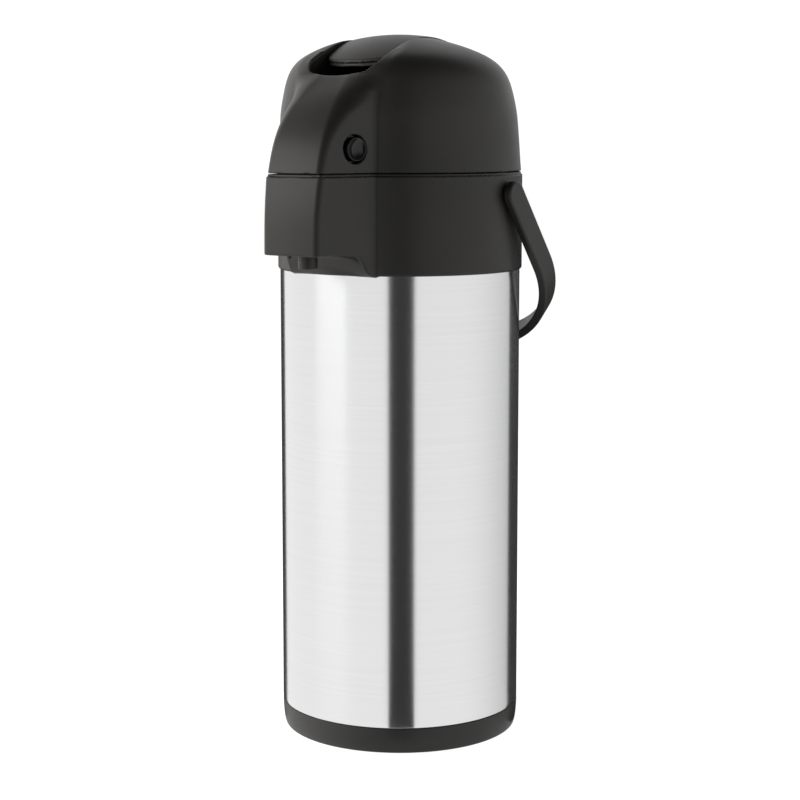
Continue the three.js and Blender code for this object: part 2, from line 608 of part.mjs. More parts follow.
function makePump() {
  const carrierTop = PAD_THICK + PAD_SEAM;
  const pad = padSlab(0, PAD_THICK, stripOutline(PAD_HALF_WIDTH, PAD_FRONT, PAD_REAR, 8, 7));
  addNode('pump_pad', pad, BLACK);

  const plate = padSlab(
    carrierTop, carrierTop + CARRIER_THICK,
    stripOutline(PAD_HALF_WIDTH - 0.4, PAD_FRONT + 0.3, PAD_REAR - 0.4, 8, 7),
  );
  const lugs = sides.map(([, side]) => {
    const [near, far] = [12 * side, 16 * side].sort((a, b) => a - b);
    return joined(
      bar(3.6, [near, PAD_PIVOT.y - 0.6, PAD_PIVOT.z], [far, PAD_PIVOT.y - 0.6, PAD_PIVOT.z]),
      block([near, PAD_PIVOT.y - 4.2, PAD_PIVOT.z], [far, PAD_PIVOT.y + 1.5, 382.6]),
    );
  });
  const carrier = cut(
    joined(
      plate,
      ...lugs,
      block([-5, -2.8, NUB.z], [5, 2.8, 392]),
      bar(NUB.radius, [-5, 0, NUB.z], [5, 0, NUB.z]),
    ),
    bar(1.95, [-30, PAD_PIVOT.y, PAD_PIVOT.z], [30, PAD_PIVOT.y, PAD_PIVOT.z]),
  );
  addNode('pad_carrier', carrier, BLACK);

  addNode('pump_plate', joined(
    post(0, 0, PUMP_RADIUS, PUMP_PLATE_Z, PUMP_PLATE_TOP, 32),
    post(0, 0, 6, PUMP_PLATE_Z - 3, PUMP_PLATE_Z + 1, 24),
  ), PALE);

  const folds = 6;
  const top = PUMP_PLATE_Z - GAP;
  const [ridge, valley, wall] = [19, 15.5, 1];
  const outside = [];
  for (let i = 0; i <= 2 * folds; i += 1) {
    const z = BELLOWS_BOTTOM + ((top - BELLOWS_BOTTOM) * i) / (2 * folds);
    outside.push([i % 2 === 0 ? ridge : valley, z]);
  }
  const inside = outside.map(([radius, z]) => [radius - wall, z]).reverse();
  addNode('bellows', turned([...outside, ...inside], 20), RUBBER);
  addNode('pump_spring', coil(9, 0.9, 7, BELLOWS_BOTTOM, top), SPRING_STEEL);
}

// Push-buttons.

function makeButtons() {
  const seat = -15.3;
  const armBack = -7.4;
  sides.forEach(([name, side]) => {
    const dish = new THREE.SphereGeometry(14, 20, 12);
    const deep = BUTTON.proud + 14 - 1.1;
    dish.translate(side * (BUTTON.x + deep * BUTTON_AXIS.x), BUTTON.y + deep * BUTTON_AXIS.y, BUTTON.z);
    const body = joined(
      buttonBar(side, BUTTON.radius, -5.5, BUTTON.proud, 28),
      buttonBar(side, 8.5, -5.6, -4.3, 28),
      buttonBar(side, 2.6, -11.5, -5),
      buttonBlock(side, [armBack, -3, 309.6], [-5.4, 3, BUTTON.z]),
      buttonBlock(side, [-5.5, -3, 309.6], [-4.6, 3, 311.4]),
    );
    addNode(`release_button_${name}`, cut(body, solid(dish)), GLOSS);

    const spring = coil(4.5, 0.5, 3, 0, armBack - BUTTON.travel - GAP - seat);
    const outward = new THREE.Vector3(side * BUTTON_AXIS.x, BUTTON_AXIS.y, 0);
    const turn = new THREE.Matrix4().lookAt(outward, new THREE.Vector3(), new THREE.Vector3(0, 0, 1));
    turn.setPosition(side * (BUTTON.x + seat * BUTTON_AXIS.x), BUTTON.y + seat * BUTTON_AXIS.y, BUTTON.z);
    addNode(`button_spring_${name}`, spring.transform(turn.elements), SPRING_STEEL);
  });
}

// Handle.

function makeHandle() {
  const arc = (inset) => {
    const [rx, ry] = [HANDLE_HALF_WIDTH - inset, HANDLE_REACH - HANDLE_STRAIGHT - inset];
    return new THREE.EllipseCurve(0, HANDLE_STRAIGHT, rx, ry, 0, Math.PI).getPoints(20);
  };
  const inside = HANDLE_HALF_WIDTH - HANDLE_THICK;
  const outline = [
    new THREE.Vector2(HANDLE_HALF_WIDTH, 0),
    ...arc(0),
    new THREE.Vector2(-HANDLE_HALF_WIDTH, 0),
    new THREE.Vector2(-inside, 0),
    ...arc(HANDLE_THICK).reverse(),
    new THREE.Vector2(inside, 0),
  ];
  const strap = prism(outline, -HANDLE_STRAP / 2, HANDLE_STRAP / 2);
  const ends = sides.map(([, side]) => bar(HANDLE_STRAP / 2, [side * inside, 0, 0], [side * 75, 0, 0], 32));
  const holes = sides.map(([, side]) => bar(3.9, [side * 60, 0, 0], [side * 73.4, 0, 0]));
  const handle = addNode('handle', cut(joined(strap, ...ends), ...holes), BLACK);
  handle.rotation.x = -HANDLE_DROP;
  handle.position.set(0, HANDLE_PIVOT.y, HANDLE_PIVOT.z);

  sides.forEach(([name, side]) => {
    const at = (x) => [side * x, HANDLE_PIVOT.y, HANDLE_PIVOT.z];
    const pin = joined(bar(4.8, at(61.8), at(64.4), 24), bar(3.5, at(64), at(73)));
    addNode(`handle_pivot_pin_${name}`, pin, BRUSHED);
  });
}

makeBase();
makeVessel();
makeCollar();
makeDeck();
makeSiphon();
makeLid();
makeLidBase();
makePump();
makeButtons();
makeHandle();

export default airpot;
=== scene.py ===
"""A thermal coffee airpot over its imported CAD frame: +Z up, the spout to -Y.

Shapes are worked out in millimetres and turned into metres when a piece is added.
"""

import json
import math

import bpy
import numpy as np
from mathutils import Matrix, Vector


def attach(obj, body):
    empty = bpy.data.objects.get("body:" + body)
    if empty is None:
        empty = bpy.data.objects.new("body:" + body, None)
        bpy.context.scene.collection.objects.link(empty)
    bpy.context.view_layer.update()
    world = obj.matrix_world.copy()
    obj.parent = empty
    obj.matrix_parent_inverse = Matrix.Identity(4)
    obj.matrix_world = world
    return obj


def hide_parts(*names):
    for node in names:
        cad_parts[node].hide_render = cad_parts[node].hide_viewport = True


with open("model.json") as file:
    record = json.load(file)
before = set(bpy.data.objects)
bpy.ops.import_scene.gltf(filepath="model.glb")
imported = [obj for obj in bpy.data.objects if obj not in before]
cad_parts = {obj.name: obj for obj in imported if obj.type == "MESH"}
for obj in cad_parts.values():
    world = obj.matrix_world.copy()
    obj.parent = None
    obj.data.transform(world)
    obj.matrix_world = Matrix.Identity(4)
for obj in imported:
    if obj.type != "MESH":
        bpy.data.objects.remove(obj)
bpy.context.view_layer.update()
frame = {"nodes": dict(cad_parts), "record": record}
NODES = frame["nodes"]
MM = 0.001

# Sizes shared by several pieces, in millimetres.
BODY_RADIUS = 68.0
COLLAR_RADIUS = 69.2
COLLAR_BOTTOM, COLLAR_TOP = 264.1, 317.5
NOSE_BOTTOM = 275.5
LID_BOTTOM = 319.3
CREASE_X = 27.4
WALL = 2.4
PIN_BORE = 1.95
DECK_Z = 312.2
HINGE_Y, HINGE_Z = 73.6, 318.3
PIVOT_Y, PIVOT_Z = 5.2, 307.0
PIVOT_BORE = 3.9
PAD_PIVOT_Y, PAD_PIVOT_Z = 40.0, 377.0
BUTTON_AT = (24.0, -75.0, 332.0)
BUTTON_AXIS = (0.959, -0.283)
SPOUT_Z, NOZZLE_Y, NOZZLE_BOTTOM = 301.5, -85.6, 268.4

# ---------------------------------------------------------------- camera, light and floor

AZIMUTH = math.radians(35)
TILT = math.radians(6.93)
CAMERA_DISTANCE, CAMERA_HEIGHT = 1.085, 0.343
SENSOR, LENS, SHIFT = 36, 85.8, -0.05
LOOK_AT = (0, 0, 0.2)

# How bright the room is: in reflections, as fill light, overhead in reflections, and to the camera.
ROOM_SHEEN, ROOM_FILL, CEILING_SHEEN, BACKDROP = 0.98, 0.48, 0.05, 1.06

FLOOR_HALF, FLOOR_DROP = 9.0, 0.0002

# The flags: how far out they stand, how high they are, and how bright a dark one is.
FLAG_BACK_REACH, FLAG_FRONT_REACH, FLAG_SIDE_REACH = 2.2, 2.6, 2.4
FLAG_LOW, FLAG_HIGH = 0.3, 2.6
FLAG_DARK = 0.036

# The flags along the side, in degrees from the camera's azimuth, and their brightness by degrees.
SIDE_START, SIDE_STOP, SIDE_STEP = 60, 130, 7
SIDE_PLACES = (60, 72, 82, 93, 105, 119, 130)
SIDE_LEVELS = (1.12, 1.09, 1.05, 0.985, 0.9, 0.79, 0.72)


def around(azimuth, distance, height):
    """A point at an azimuth round the object, where 0 is in front of it."""
    return Vector((math.sin(azimuth) * distance, -math.cos(azimuth) * distance, height))


def make_camera():
    data = bpy.data.cameras.new("camera")
    data.sensor_width = SENSOR
    data.lens = LENS
    data.shift_y = SHIFT
    camera = bpy.data.objects.new("camera", data)
    camera.location = around(AZIMUTH, CAMERA_DISTANCE, CAMERA_HEIGHT)
    camera.rotation_euler = (math.pi / 2 - TILT, 0, AZIMUTH)
    bpy.context.scene.collection.objects.link(camera)
    bpy.context.scene.camera = camera


def soft_box(name, azimuth, distance, height, size, power):
    """A large soft light aimed at the middle of the object. Reflections leave it out."""
    data = bpy.data.lights.new(name, "AREA")
    data.shape = "RECTANGLE"
    data.size, data.size_y = size
    data.energy = power
    light = bpy.data.objects.new(name, data)
    light.location = around(math.radians(azimuth), distance, height)
    look = Vector(LOOK_AT) - light.location
    light.rotation_euler = look.to_track_quat("-Z", "Y").to_euler()
    light.visible_camera = False
    light.visible_glossy = False
    bpy.context.scene.collection.objects.link(light)


def stage_mesh(name, points, faces, material):
    mesh = bpy.data.meshes.new(name)
    mesh.from_pydata([tuple(p) for p in points], [], faces)
    mesh.materials.append(material)
    thing = bpy.data.objects.new(name, mesh)
    bpy.context.scene.collection.objects.link(thing)
    return thing


def flag(name, span, distance, top, level, lift=None):
    """A card that only reflections see: upright at its far end, with a foot that runs in over the floor.

    The span is in degrees from the camera's azimuth. The sides run the way a ray leaves the round
    body, so a flag shows there as a stripe of even width. With a lift it hangs between that height
    and its top, and has no foot.
    """
    shade = bpy.data.materials.new(name + "_cloth")
    shade.use_nodes = True
    nodes = shade.node_tree.nodes
    nodes.remove(nodes["Principled BSDF"])
    glow = nodes.new("ShaderNodeEmission")
    glow.inputs["Color"].default_value = (level, level, level, 1)
    shade.node_tree.links.new(glow.outputs[0], nodes["Material Output"].inputs["Surface"])
    near, far = [], []
    for angle in span:
        turn = math.radians(angle)
        start = around(AZIMUTH + turn / 2, BODY_RADIUS * MM, 0.004)
        near.append(start + around(AZIMUTH + turn, 0.01, 0))
        far.append(start + around(AZIMUTH + turn, distance, 0))
    up = Vector((0, 0, top))
    if lift is None:
        points = [near[0], near[1], far[1], far[0], far[0] + up, far[1] + up]
        faces = [(0, 1, 2, 3), (3, 2, 5, 4)]
    else:
        raised = Vector((0, 0, lift))
        points = [far[0] + raised, far[1] + raised, far[1] + up, far[0] + up]
        faces = [(0, 1, 2, 3)]
    card = stage_mesh(name, points, faces, shade)
    card.visible_camera = False
    card.visible_diffuse = False
    card.visible_shadow = False
    card.visible_transmission = False


def light_the_world(tree):
    """A white room whose reflections darken towards the ceiling, and stay light over the far wall."""
    nodes, links = tree.nodes, tree.links

    def ramp(value, start, stop, low, high):
        made = nodes.new("ShaderNodeMapRange")
        made.interpolation_type = "SMOOTHSTEP"
        for key, number in (("From Min", start), ("From Max", stop), ("To Min", low), ("To Max", high)):
            made.inputs[key].default_value = number
        links.new(value, made.inputs["Value"])
        return made.outputs["Result"]

    ray = nodes.new("ShaderNodeLightPath")
    place = nodes.new("ShaderNodeTexCoord")
    part = nodes.new("ShaderNodeSeparateXYZ")
    links.new(place.outputs["Generated"], part.inputs[0])
    ceiling = ramp(part.outputs["Z"], 0.2, 0.72, ROOM_SHEEN, CEILING_SHEEN)
    away = nodes.new("ShaderNodeVectorMath")
    away.operation = "DOT_PRODUCT"
    links.new(place.outputs["Generated"], away.inputs[0])
    away.inputs[1].default_value = around(AZIMUTH + math.pi, 1, 0)
    wall = ramp(away.outputs["Value"], 0.2, 0.65, 0, ROOM_SHEEN)
    sheen = nodes.new("ShaderNodeMath")
    sheen.operation = "MAXIMUM"
    links.new(ceiling, sheen.inputs[0])
    links.new(wall, sheen.inputs[1])
    fill = nodes.new("ShaderNodeMath")
    fill.operation = "MULTIPLY"
    links.new(ceiling, fill.inputs[0])
    fill.inputs[1].default_value = ROOM_FILL
    glossy = nodes.new("ShaderNodeMix")
    links.new(ray.outputs["Is Glossy Ray"], glossy.inputs["Factor"])
    links.new(fill.outputs["Value"], glossy.inputs["A"])
    links.new(sheen.outputs["Value"], glossy.inputs["B"])
    seen = nodes.new("ShaderNodeMix")
    links.new(ray.outputs["Is Camera Ray"], seen.inputs["Factor"])
    links.new(glossy.outputs["Result"], seen.inputs["A"])
    seen.inputs["B"].default_value = BACKDROP
    links.new(seen.outputs["Result"], nodes["Background"].inputs["Strength"])
    nodes["Background"].inputs["Color"].default_value = (1, 1, 1, 1)


def floor_paper():
    """Dark paper with a glow of its own, which looks white and takes only a faint shadow."""
    paper = bpy.data.materials.new("floor_paper")
    paper.use_nodes = True
    tree = paper.node_tree
    bsdf = tree.nodes["Principled BSDF"]
    bsdf.inputs["Roughness"].default_value = 0.9
    bsdf.inputs["Specular IOR Level"].default_value = 0.1
    grain = tree.nodes.new("ShaderNodeTexNoise")
    grain.inputs["Scale"].default_value = 300
    tones = tree.nodes.new("ShaderNodeValToRGB")
    tones.color_ramp.elements[0].color = (0.15, 0.15, 0.15, 1)
    tones.color_ramp.elements[1].color = (0.17, 0.17, 0.17, 1)
    tree.links.new(grain.outputs["Fac"], tones.inputs["Fac"])
    tree.links.new(tones.outputs["Color"], bsdf.inputs["Base Color"])
    bsdf.inputs["Emission Color"].default_value = (1, 1, 1, 1)
    bsdf.inputs["Emission Strength"].default_value = 0.96
    return paper


def make_stage():
    world = bpy.data.worlds.new("studio")
    bpy.context.scene.world = world
    world.use_nodes = True
    light_the_world(world.node_tree)
    bpy.context.scene.view_settings.view_transform = "Standard"

    edge, drop = FLOOR_HALF, -FLOOR_DROP
    corners = [(-edge, -edge, drop), (edge, -edge, drop), (edge, edge, drop), (-edge, edge, drop)]
    stage_mesh("floor", corners, [(0, 1, 2, 3)], floor_paper())

    flag("flag_front", (-11, 13.5), FLAG_FRONT_REACH, FLAG_HIGH, FLAG_DARK)
    flag("flag_back", (SIDE_STOP, -147), FLAG_BACK_REACH, FLAG_LOW, FLAG_DARK)
    flag("flag_left", (-147, -11), FLAG_SIDE_REACH, FLAG_LOW, 1.14)
    flag("flag_right", (13.5, SIDE_START), FLAG_SIDE_REACH, FLAG_LOW, 1.12)
    flag("card_left", (-88, -54), 2.1, 1.6, 4.8, 0.62)
    for n, start in enumerate(range(SIDE_START, SIDE_STOP, SIDE_STEP)):
        level = float(np.interp(start + SIDE_STEP / 2, SIDE_PLACES, SIDE_LEVELS))
        flag(f"flag_side_{n + 1}", (start, start + SIDE_STEP), FLAG_SIDE_REACH, FLAG_LOW, level)

    soft_box("key_left", -66, 1.9, 0.5, (1.2, 1.6), 270)
    soft_box("fill_right", 112, 2.0, 0.5, (1.2, 1.6), 44)


# ---------------------------------------------------------------- materials

MATERIALS = {}


class Look:
    """A procedural material being built round one Principled shader."""

    def __init__(self, name, **values):
        material = bpy.data.materials.new(name)
        material.use_nodes = True
        self.tree = material.node_tree
        self.bsdf = self.tree.nodes["Principled BSDF"]
        self.place = self.node("ShaderNodeTexCoord").outputs["Object"]
        for key, value in values.items():
            self.bsdf.inputs[key.replace("_", " ")].default_value = value
        MATERIALS[name] = material

    def node(self, kind, **inputs):
        made = self.tree.nodes.new(kind)
        for key, value in inputs.items():
            self.set(made.inputs[key.replace("_", " ")], value)
        return made

    def set(self, socket, value):
        if isinstance(value, bpy.types.NodeSocket):
            self.tree.links.new(value, socket)
        else:
            socket.default_value = value

    def stretched(self, scale):
        """The object's own coordinates, scaled by a different amount along each axis."""
        made = self.node("ShaderNodeMapping", Vector=self.place)
        made.inputs["Scale"].default_value = scale
        return made.outputs["Vector"]

    def noise(self, scale, detail=3.0, roughness=0.5, place=None):
        made = self.node("ShaderNodeTexNoise", Vector=place or self.place)
        made.inputs["Scale"].default_value = scale
        made.inputs["Detail"].default_value = detail
        made.inputs["Roughness"].default_value = roughness
        return made.outputs["Fac"]

    def span(self, value, low, high, start=0.3, stop=0.7):
        """value from start..stop turned into low..high."""
        made = self.node("ShaderNodeMapRange", Value=value)
        for key, number in (("From Min", start), ("From Max", stop), ("To Min", low), ("To Max", high)):
            made.inputs[key].default_value = number
        return made.outputs["Result"]

    def tint(self, value, dark, light, start=0.3, stop=0.7):
        """A colour between two, by value."""
        made = self.node("ShaderNodeValToRGB", Fac=value)
        first, last = made.color_ramp.elements
        first.position, first.color = start, (*dark, 1)
        last.position, last.color = stop, (*light, 1)
        return made.outputs["Color"]

    def bump(self, height, strength, distance, under=None):
        made = self.node("ShaderNodeBump", Height=height)
        made.inputs["Strength"].default_value = strength
        made.inputs["Distance"].default_value = distance
        if under is not None:
            self.set(made.inputs["Normal"], under)
        return made.outputs["Normal"]

    def wear(self, colour=None, roughness=None, normal=None):
        for key, value in (("Base Color", colour), ("Roughness", roughness), ("Normal", normal)):
            if value is not None:
                self.set(self.bsdf.inputs[key], value)


def moulded_plastic(name, dark, light, rough, grain=1.0, specular=0.5):
    """Moulded plastic: a fine spark-eroded grain over broader pits, and a faint cloud in the gloss."""
    look = Look(name, Specular_IOR_Level=specular)
    cloud = look.noise(38, 3, 0.55)
    fine = look.noise(2600, 2, 0.6)
    pits = look.noise(900, 2, 0.5)
    colour = look.tint(look.noise(14, 4, 0.6), dark, light)
    low, high = rough
    roughness = look.span(cloud, low, high)
    normal = look.bump(pits, 0.10 * grain, 0.00025)
    normal = look.bump(fine, 0.20 * grain, 0.00008, normal)
    look.wear(colour, roughness, normal)


def brushed_steel(name):
    """Stainless sheet brushed round the vessel, with hair lines that spread light up and down."""
    look = Look(name, Metallic=1.0, Anisotropic=0.9, Anisotropic_Rotation=0.25)
    hair = look.noise(1.0, 4, 0.62, look.stretched((22, 22, 5200)))
    bands = look.noise(1.0, 3, 0.6, look.stretched((9, 9, 900)))
    strokes = look.noise(1.0, 2, 0.5, look.stretched((70, 70, 2300)))
    colour = look.tint(bands, (0.685, 0.685, 0.688), (0.705, 0.705, 0.707))
    roughness = look.span(hair, 0.20, 0.235, 0.25, 0.75)
    normal = look.bump(strokes, 0.03, 0.00005)
    normal = look.bump(hair, 0.08, 0.00004, normal)
    tangent = look.node("ShaderNodeTangent")
    tangent.direction_type = "RADIAL"
    tangent.axis = "Z"
    look.set(look.bsdf.inputs["Tangent"], tangent.outputs["Tangent"])
    look.wear(colour, roughness, normal)


def plain_steel(name, rough, colours):
    """Drawn steel with faint draw marks and handling haze."""
    look = Look(name, Metallic=1.0)
    haze = look.noise(45, 4, 0.6)
    marks = look.noise(1.0, 3, 0.6, look.stretched((300, 300, 1800)))
    low, high = rough
    look.wear(look.tint(haze, *colours), look.span(haze, low, high), look.bump(marks, 0.08, 0.00005))


def soft_rubber(name, dark, light, rough):
    """Rubber or silicone: dull, with a faint bloom and a fine open grain."""
    look = Look(name, Specular_IOR_Level=0.35)
    bloom = look.noise(60, 4, 0.65)
    grain = look.noise(1700, 2, 0.6)
    low, high = rough
    normal = look.bump(grain, 0.25, 0.0001)
    look.wear(look.tint(bloom, dark, light), look.span(bloom, low, high), normal)


def make_materials():
    moulded_plastic(
        "satin_black", (0.0098, 0.0091, 0.0084), (0.0126, 0.0117, 0.0109), (0.38, 0.44),
        grain=1.0, specular=0.24,
    )
    moulded_plastic(
        "base_black", (0.0115, 0.0112, 0.0106), (0.0145, 0.0141, 0.0134), (0.48, 0.56),
        grain=1.4, specular=0.26,
    )
    moulded_plastic(
        "gloss_black", (0.003, 0.003, 0.003), (0.005, 0.005, 0.005), (0.10, 0.15),
        grain=0.15, specular=0.3,
    )
    moulded_plastic("pale_plastic", (0.66, 0.66, 0.62), (0.72, 0.72, 0.69), (0.42, 0.50), grain=0.7)
    brushed_steel("brushed_shell")
    plain_steel("plain_steel", (0.16, 0.26), ((0.66, 0.66, 0.67), (0.74, 0.74, 0.745)))
    plain_steel("screw_steel", (0.28, 0.40), ((0.50, 0.50, 0.51), (0.60, 0.60, 0.60)))
    soft_rubber("black_rubber", (0.018, 0.018, 0.018), (0.027, 0.027, 0.026), (0.68, 0.80))
    soft_rubber("grey_silicone", (0.44, 0.45, 0.44), (0.52, 0.53, 0.51), (0.45, 0.56))


# ---------------------------------------------------------------- shapes from distance fields


def smooth_max(a, b, radius):
    """The larger of two distances, with their meeting rounded to a radius: what both solids share."""
    inner = np.minimum(np.maximum(a, b), -radius)
    return inner + np.hypot(np.maximum(a + radius, 0), np.maximum(b + radius, 0))


def smooth_min(a, b, radius):
    """The smaller of two distances, with a fillet: both solids joined."""
    return -smooth_max(-a, -b, radius)


def smooth_step(value, start, stop):
    t = np.clip((value - start) / (stop - start), 0, 1)
    return t * t * (3 - 2 * t)


def table(points, blur=0.0, count=3000):
    """A smooth curve through (place, value) points, as a fine table for np.interp."""
    places, values = np.array(points, float).T
    gaps = np.diff(places)
    slopes = np.diff(values) / gaps
    tangents = np.empty_like(values)
    tangents[1:-1] = (slopes[:-1] * gaps[1:] + slopes[1:] * gaps[:-1]) / (gaps[:-1] + gaps[1:])
    tangents[0], tangents[-1] = slopes[0], slopes[-1]
    fine = np.linspace(places[0], places[-1], count)
    k = np.clip(np.searchsorted(places, fine) - 1, 0, len(gaps) - 1)
    t = (fine - places[k]) / gaps[k]
    level = (
        (2 * t**3 - 3 * t**2 + 1) * values[k]
        + (t**3 - 2 * t**2 + t) * gaps[k] * tangents[k]
        + (3 * t**2 - 2 * t**3) * values[k + 1]
        + (t**3 - t**2) * gaps[k] * tangents[k + 1]
    )
    if blur:
        step = fine[1] - fine[0]
        reach = int(3 * blur / step)
        window = np.exp(-0.5 * (np.arange(-reach, reach + 1) * step / blur) ** 2)
        ends = np.arange(1, reach + 1)
        before = level[0] - (level[1] - level[0]) * ends[::-1]
        after = level[-1] + (level[-1] - level[-2]) * ends
        level = np.convolve(np.concatenate([before, level, after]), window / window.sum(), "valid")
    return fine, level


def at(curve, value):
    return np.interp(value, *curve)


def box_field(x, y, z, low, high, radius=0.3):
    """The distance to an upright box, its edges rounded."""
    far = [np.abs(v - (a + b) / 2) - (b - a) / 2 for v, a, b in zip((x, y, z), low, high)]
    return smooth_max(smooth_max(far[0], far[1], radius), far[2], radius)


def rod_field(across, along, radius, start, stop, edge=0.3):
    """The distance to a round bar, from the distance across it and the place along it."""
    return smooth_max(across - radius, np.abs(along - (start + stop) / 2) - (stop - start) / 2, edge)


def cross_bore(solid, y, z, radius, edge=0.2):
    """The solid with a round hole along X, where y and z are measured from the hole's middle."""
    return smooth_max(solid, radius - np.hypot(y, z), edge)


def line_distance(x, y, path):
    """The distance from points to a line through path's points, both flat."""
    best = np.full(x.shape, 1e9)
    for (ax, ay), (bx, by) in zip(path[:-1], path[1:]):
        dx, dy = bx - ax, by - ay
        share = np.clip(((x - ax) * dx + (y - ay) * dy) / (dx * dx + dy * dy), 0, 1)
        best = np.minimum(best, np.hypot(x - ax - share * dx, y - ay - share * dy))
    return best


def gradient(field, points, reach=0.04):
    x, y, z = points.T
    return np.stack([
        (field(x + reach, y, z) - field(x - reach, y, z)),
        (field(x, y + reach, z) - field(x, y - reach, z)),
        (field(x, y, z + reach) - field(x, y, z - reach)),
    ], axis=1) / (2 * reach)


def skin(field, low, high, step):
    """Points and four-sided faces on the zero level of field(x, y, z), which is below zero inside."""
    # Coarse blocks first, then the fine grid in those that may hold the surface.
    block = 4
    low = np.array(low, float)
    blocks = np.ceil((np.array(high, float) - low) / (step * block)).astype(int)
    middles = [low[a] + (np.arange(blocks[a]) + 0.5) * step * block for a in range(3)]
    rough = field(*np.meshgrid(*middles, indexing="ij"))
    near = np.abs(rough) < 1.35 * step * block
    level, wanted = rough, near
    for axis in range(3):
        level = np.repeat(level, block, axis)
        wanted = np.repeat(wanted, block, axis)
    level = level.copy()
    index = np.nonzero(wanted)
    level[index] = field(*(low[a] + index[a] * step for a in range(3)))
    inside = level < 0
    size = np.array(level.shape) - 1

    def corner(values, i, j, k):
        return values[i:i + size[0], j:j + size[1], k:k + size[2]]

    # One point in each cell the surface crosses, at the mean of the crossings of its edges.
    corners = [(i, j, k) for i in (0, 1) for j in (0, 1) for k in (0, 1)]
    filled = sum(corner(inside, *c).astype(np.int8) for c in corners)
    active = (filled > 0) & (filled < 8)
    cell = np.stack(np.nonzero(active), axis=1)
    number = np.full(active.shape, -1)
    number[active] = np.arange(len(cell))
    total, crossings = np.zeros((len(cell), 3)), np.zeros(len(cell))
    for a in corners:
        for axis in range(3):
            if a[axis] == 0:
                b = tuple(v + (n == axis) for n, v in enumerate(a))
                fa = level[tuple((cell + a).T)]
                fb = level[tuple((cell + b).T)]
                cross = (fa < 0) != (fb < 0)
                share = np.where(cross, fa / np.where(cross, fa - fb, 1), 0)
                place = np.array(a, float) + share[:, None] * (np.array(b) - np.array(a))
                total += place * cross[:, None]
                crossings += cross
    points = low + (cell + total / crossings[:, None]) * step

    # One face over each grid edge the surface crosses, from the points of the four cells round it.
    faces = []
    for axis in range(3):
        u, v = (axis + 1) % 3, (axis + 2) % 3
        first = [slice(1, size[n]) for n in range(3)]
        first[axis] = slice(0, size[axis])
        second = list(first)
        second[axis] = slice(1, size[axis] + 1)
        here, there = inside[tuple(first)], inside[tuple(second)]
        base = np.stack(np.nonzero(here != there), axis=1)
        flip = here[tuple(base.T)]
        base += [0 if n == axis else 1 for n in range(3)]
        shift_u, shift_v = np.eye(3, dtype=int)[u], np.eye(3, dtype=int)[v]
        shifts = (shift_u + shift_v, shift_v, 0 * shift_u, shift_u)
        ring = [number[tuple((base - shift).T)] for shift in shifts]
        quads = np.stack(ring, axis=1)
        quads[~flip] = quads[~flip][:, ::-1]
        faces.append(quads)
    faces = np.concatenate(faces)

    # The points are evened out twice, and drawn back onto the surface after each round.
    edges = np.concatenate([faces[:, [a, (a + 1) % 4]] for a in range(4)])
    for turn in range(4):
        if turn in (1, 2):
            pull, count = np.zeros_like(points), np.zeros(len(points))
            for a, b in ((0, 1), (1, 0)):
                for n in range(3):
                    pull[:, n] += np.bincount(edges[:, a], points[edges[:, b], n], len(points))
                count += np.bincount(edges[:, a], minlength=len(points))
            points = points + 0.5 * (pull / count[:, None] - points)
        slope = gradient(field, points)
        steep = np.maximum((slope**2).sum(1), 0.05)
        move = -(field(*points.T) / steep)[:, None] * slope
        length = np.maximum(np.linalg.norm(move, axis=1), 1e-9)
        points = points + move * np.minimum(1, 0.7 * step / length)[:, None]
    return points, faces


# ---------------------------------------------------------------- pieces


def add_piece(name, points, faces, body, nodes, slot, look=None, normals=None, sharp=None):
    """A named piece from points in millimetres, riding on a body in place of its CAD nodes.

    Its material is the slot's own unless look names another. sharp is the angle, in degrees, above
    which an edge stays crisp.
    """
    mesh = bpy.data.meshes.new(name)
    mesh.from_pydata((np.asarray(points) * MM).tolist(), [], [tuple(f) for f in faces])
    mesh.validate()
    mesh.polygons.foreach_set("use_smooth", [True] * len(mesh.polygons))
    if sharp is not None:
        mesh.set_sharp_from_angle(angle=math.radians(sharp))
    mesh.materials.append(MATERIALS[look or slot])
    piece = bpy.data.objects.new(name, mesh)
    bpy.context.scene.collection.objects.link(piece)
    if normals is not None:
        mesh.normals_split_custom_set_from_vertices(normals.tolist())
    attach(piece, body)
    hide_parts(*nodes)


def add_field(name, field, low, high, step, body, nodes, slot, look=None, most=None, place=None):
    """A piece on a field's zero level. A mesh of more than most triangles is thinned to that many.

    place turns and moves the points, and turns the normals, where the field has a frame of its own.
    """
    points, faces = skin(field, low, high, step)
    faces = faces.tolist()
    if most and 2 * len(faces) > most:
        mesh = bpy.data.meshes.new("thinning")
        mesh.from_pydata(points.tolist(), [], faces)
        thing = bpy.data.objects.new("thinning", mesh)
        bpy.context.scene.collection.objects.link(thing)
        thin = thing.modifiers.new("thin", "DECIMATE")
        thin.ratio = most / (2 * len(faces))
        shape = thing.evaluated_get(bpy.context.evaluated_depsgraph_get()).to_mesh()
        points = np.empty(3 * len(shape.vertices), np.float32)
        shape.vertices.foreach_get("co", points)
        points = points.reshape(-1, 3).astype(float)
        faces = [tuple(p.vertices) for p in shape.polygons]
        bpy.data.objects.remove(thing)
        bpy.data.meshes.remove(mesh)
    normals = gradient(field, points)
    normals /= np.maximum(np.linalg.norm(normals, axis=1), 1e-9)[:, None]
    if place is not None:
        points, normals = place(points, 1), place(normals, 0)
    add_piece(name, points, faces, body, nodes, slot, look, normals)


def placed(turn, middle):
    """A place for add_field: values are turned, and moved to the middle where moved is 1."""
    return lambda values, moved: values @ turn + moved * middle


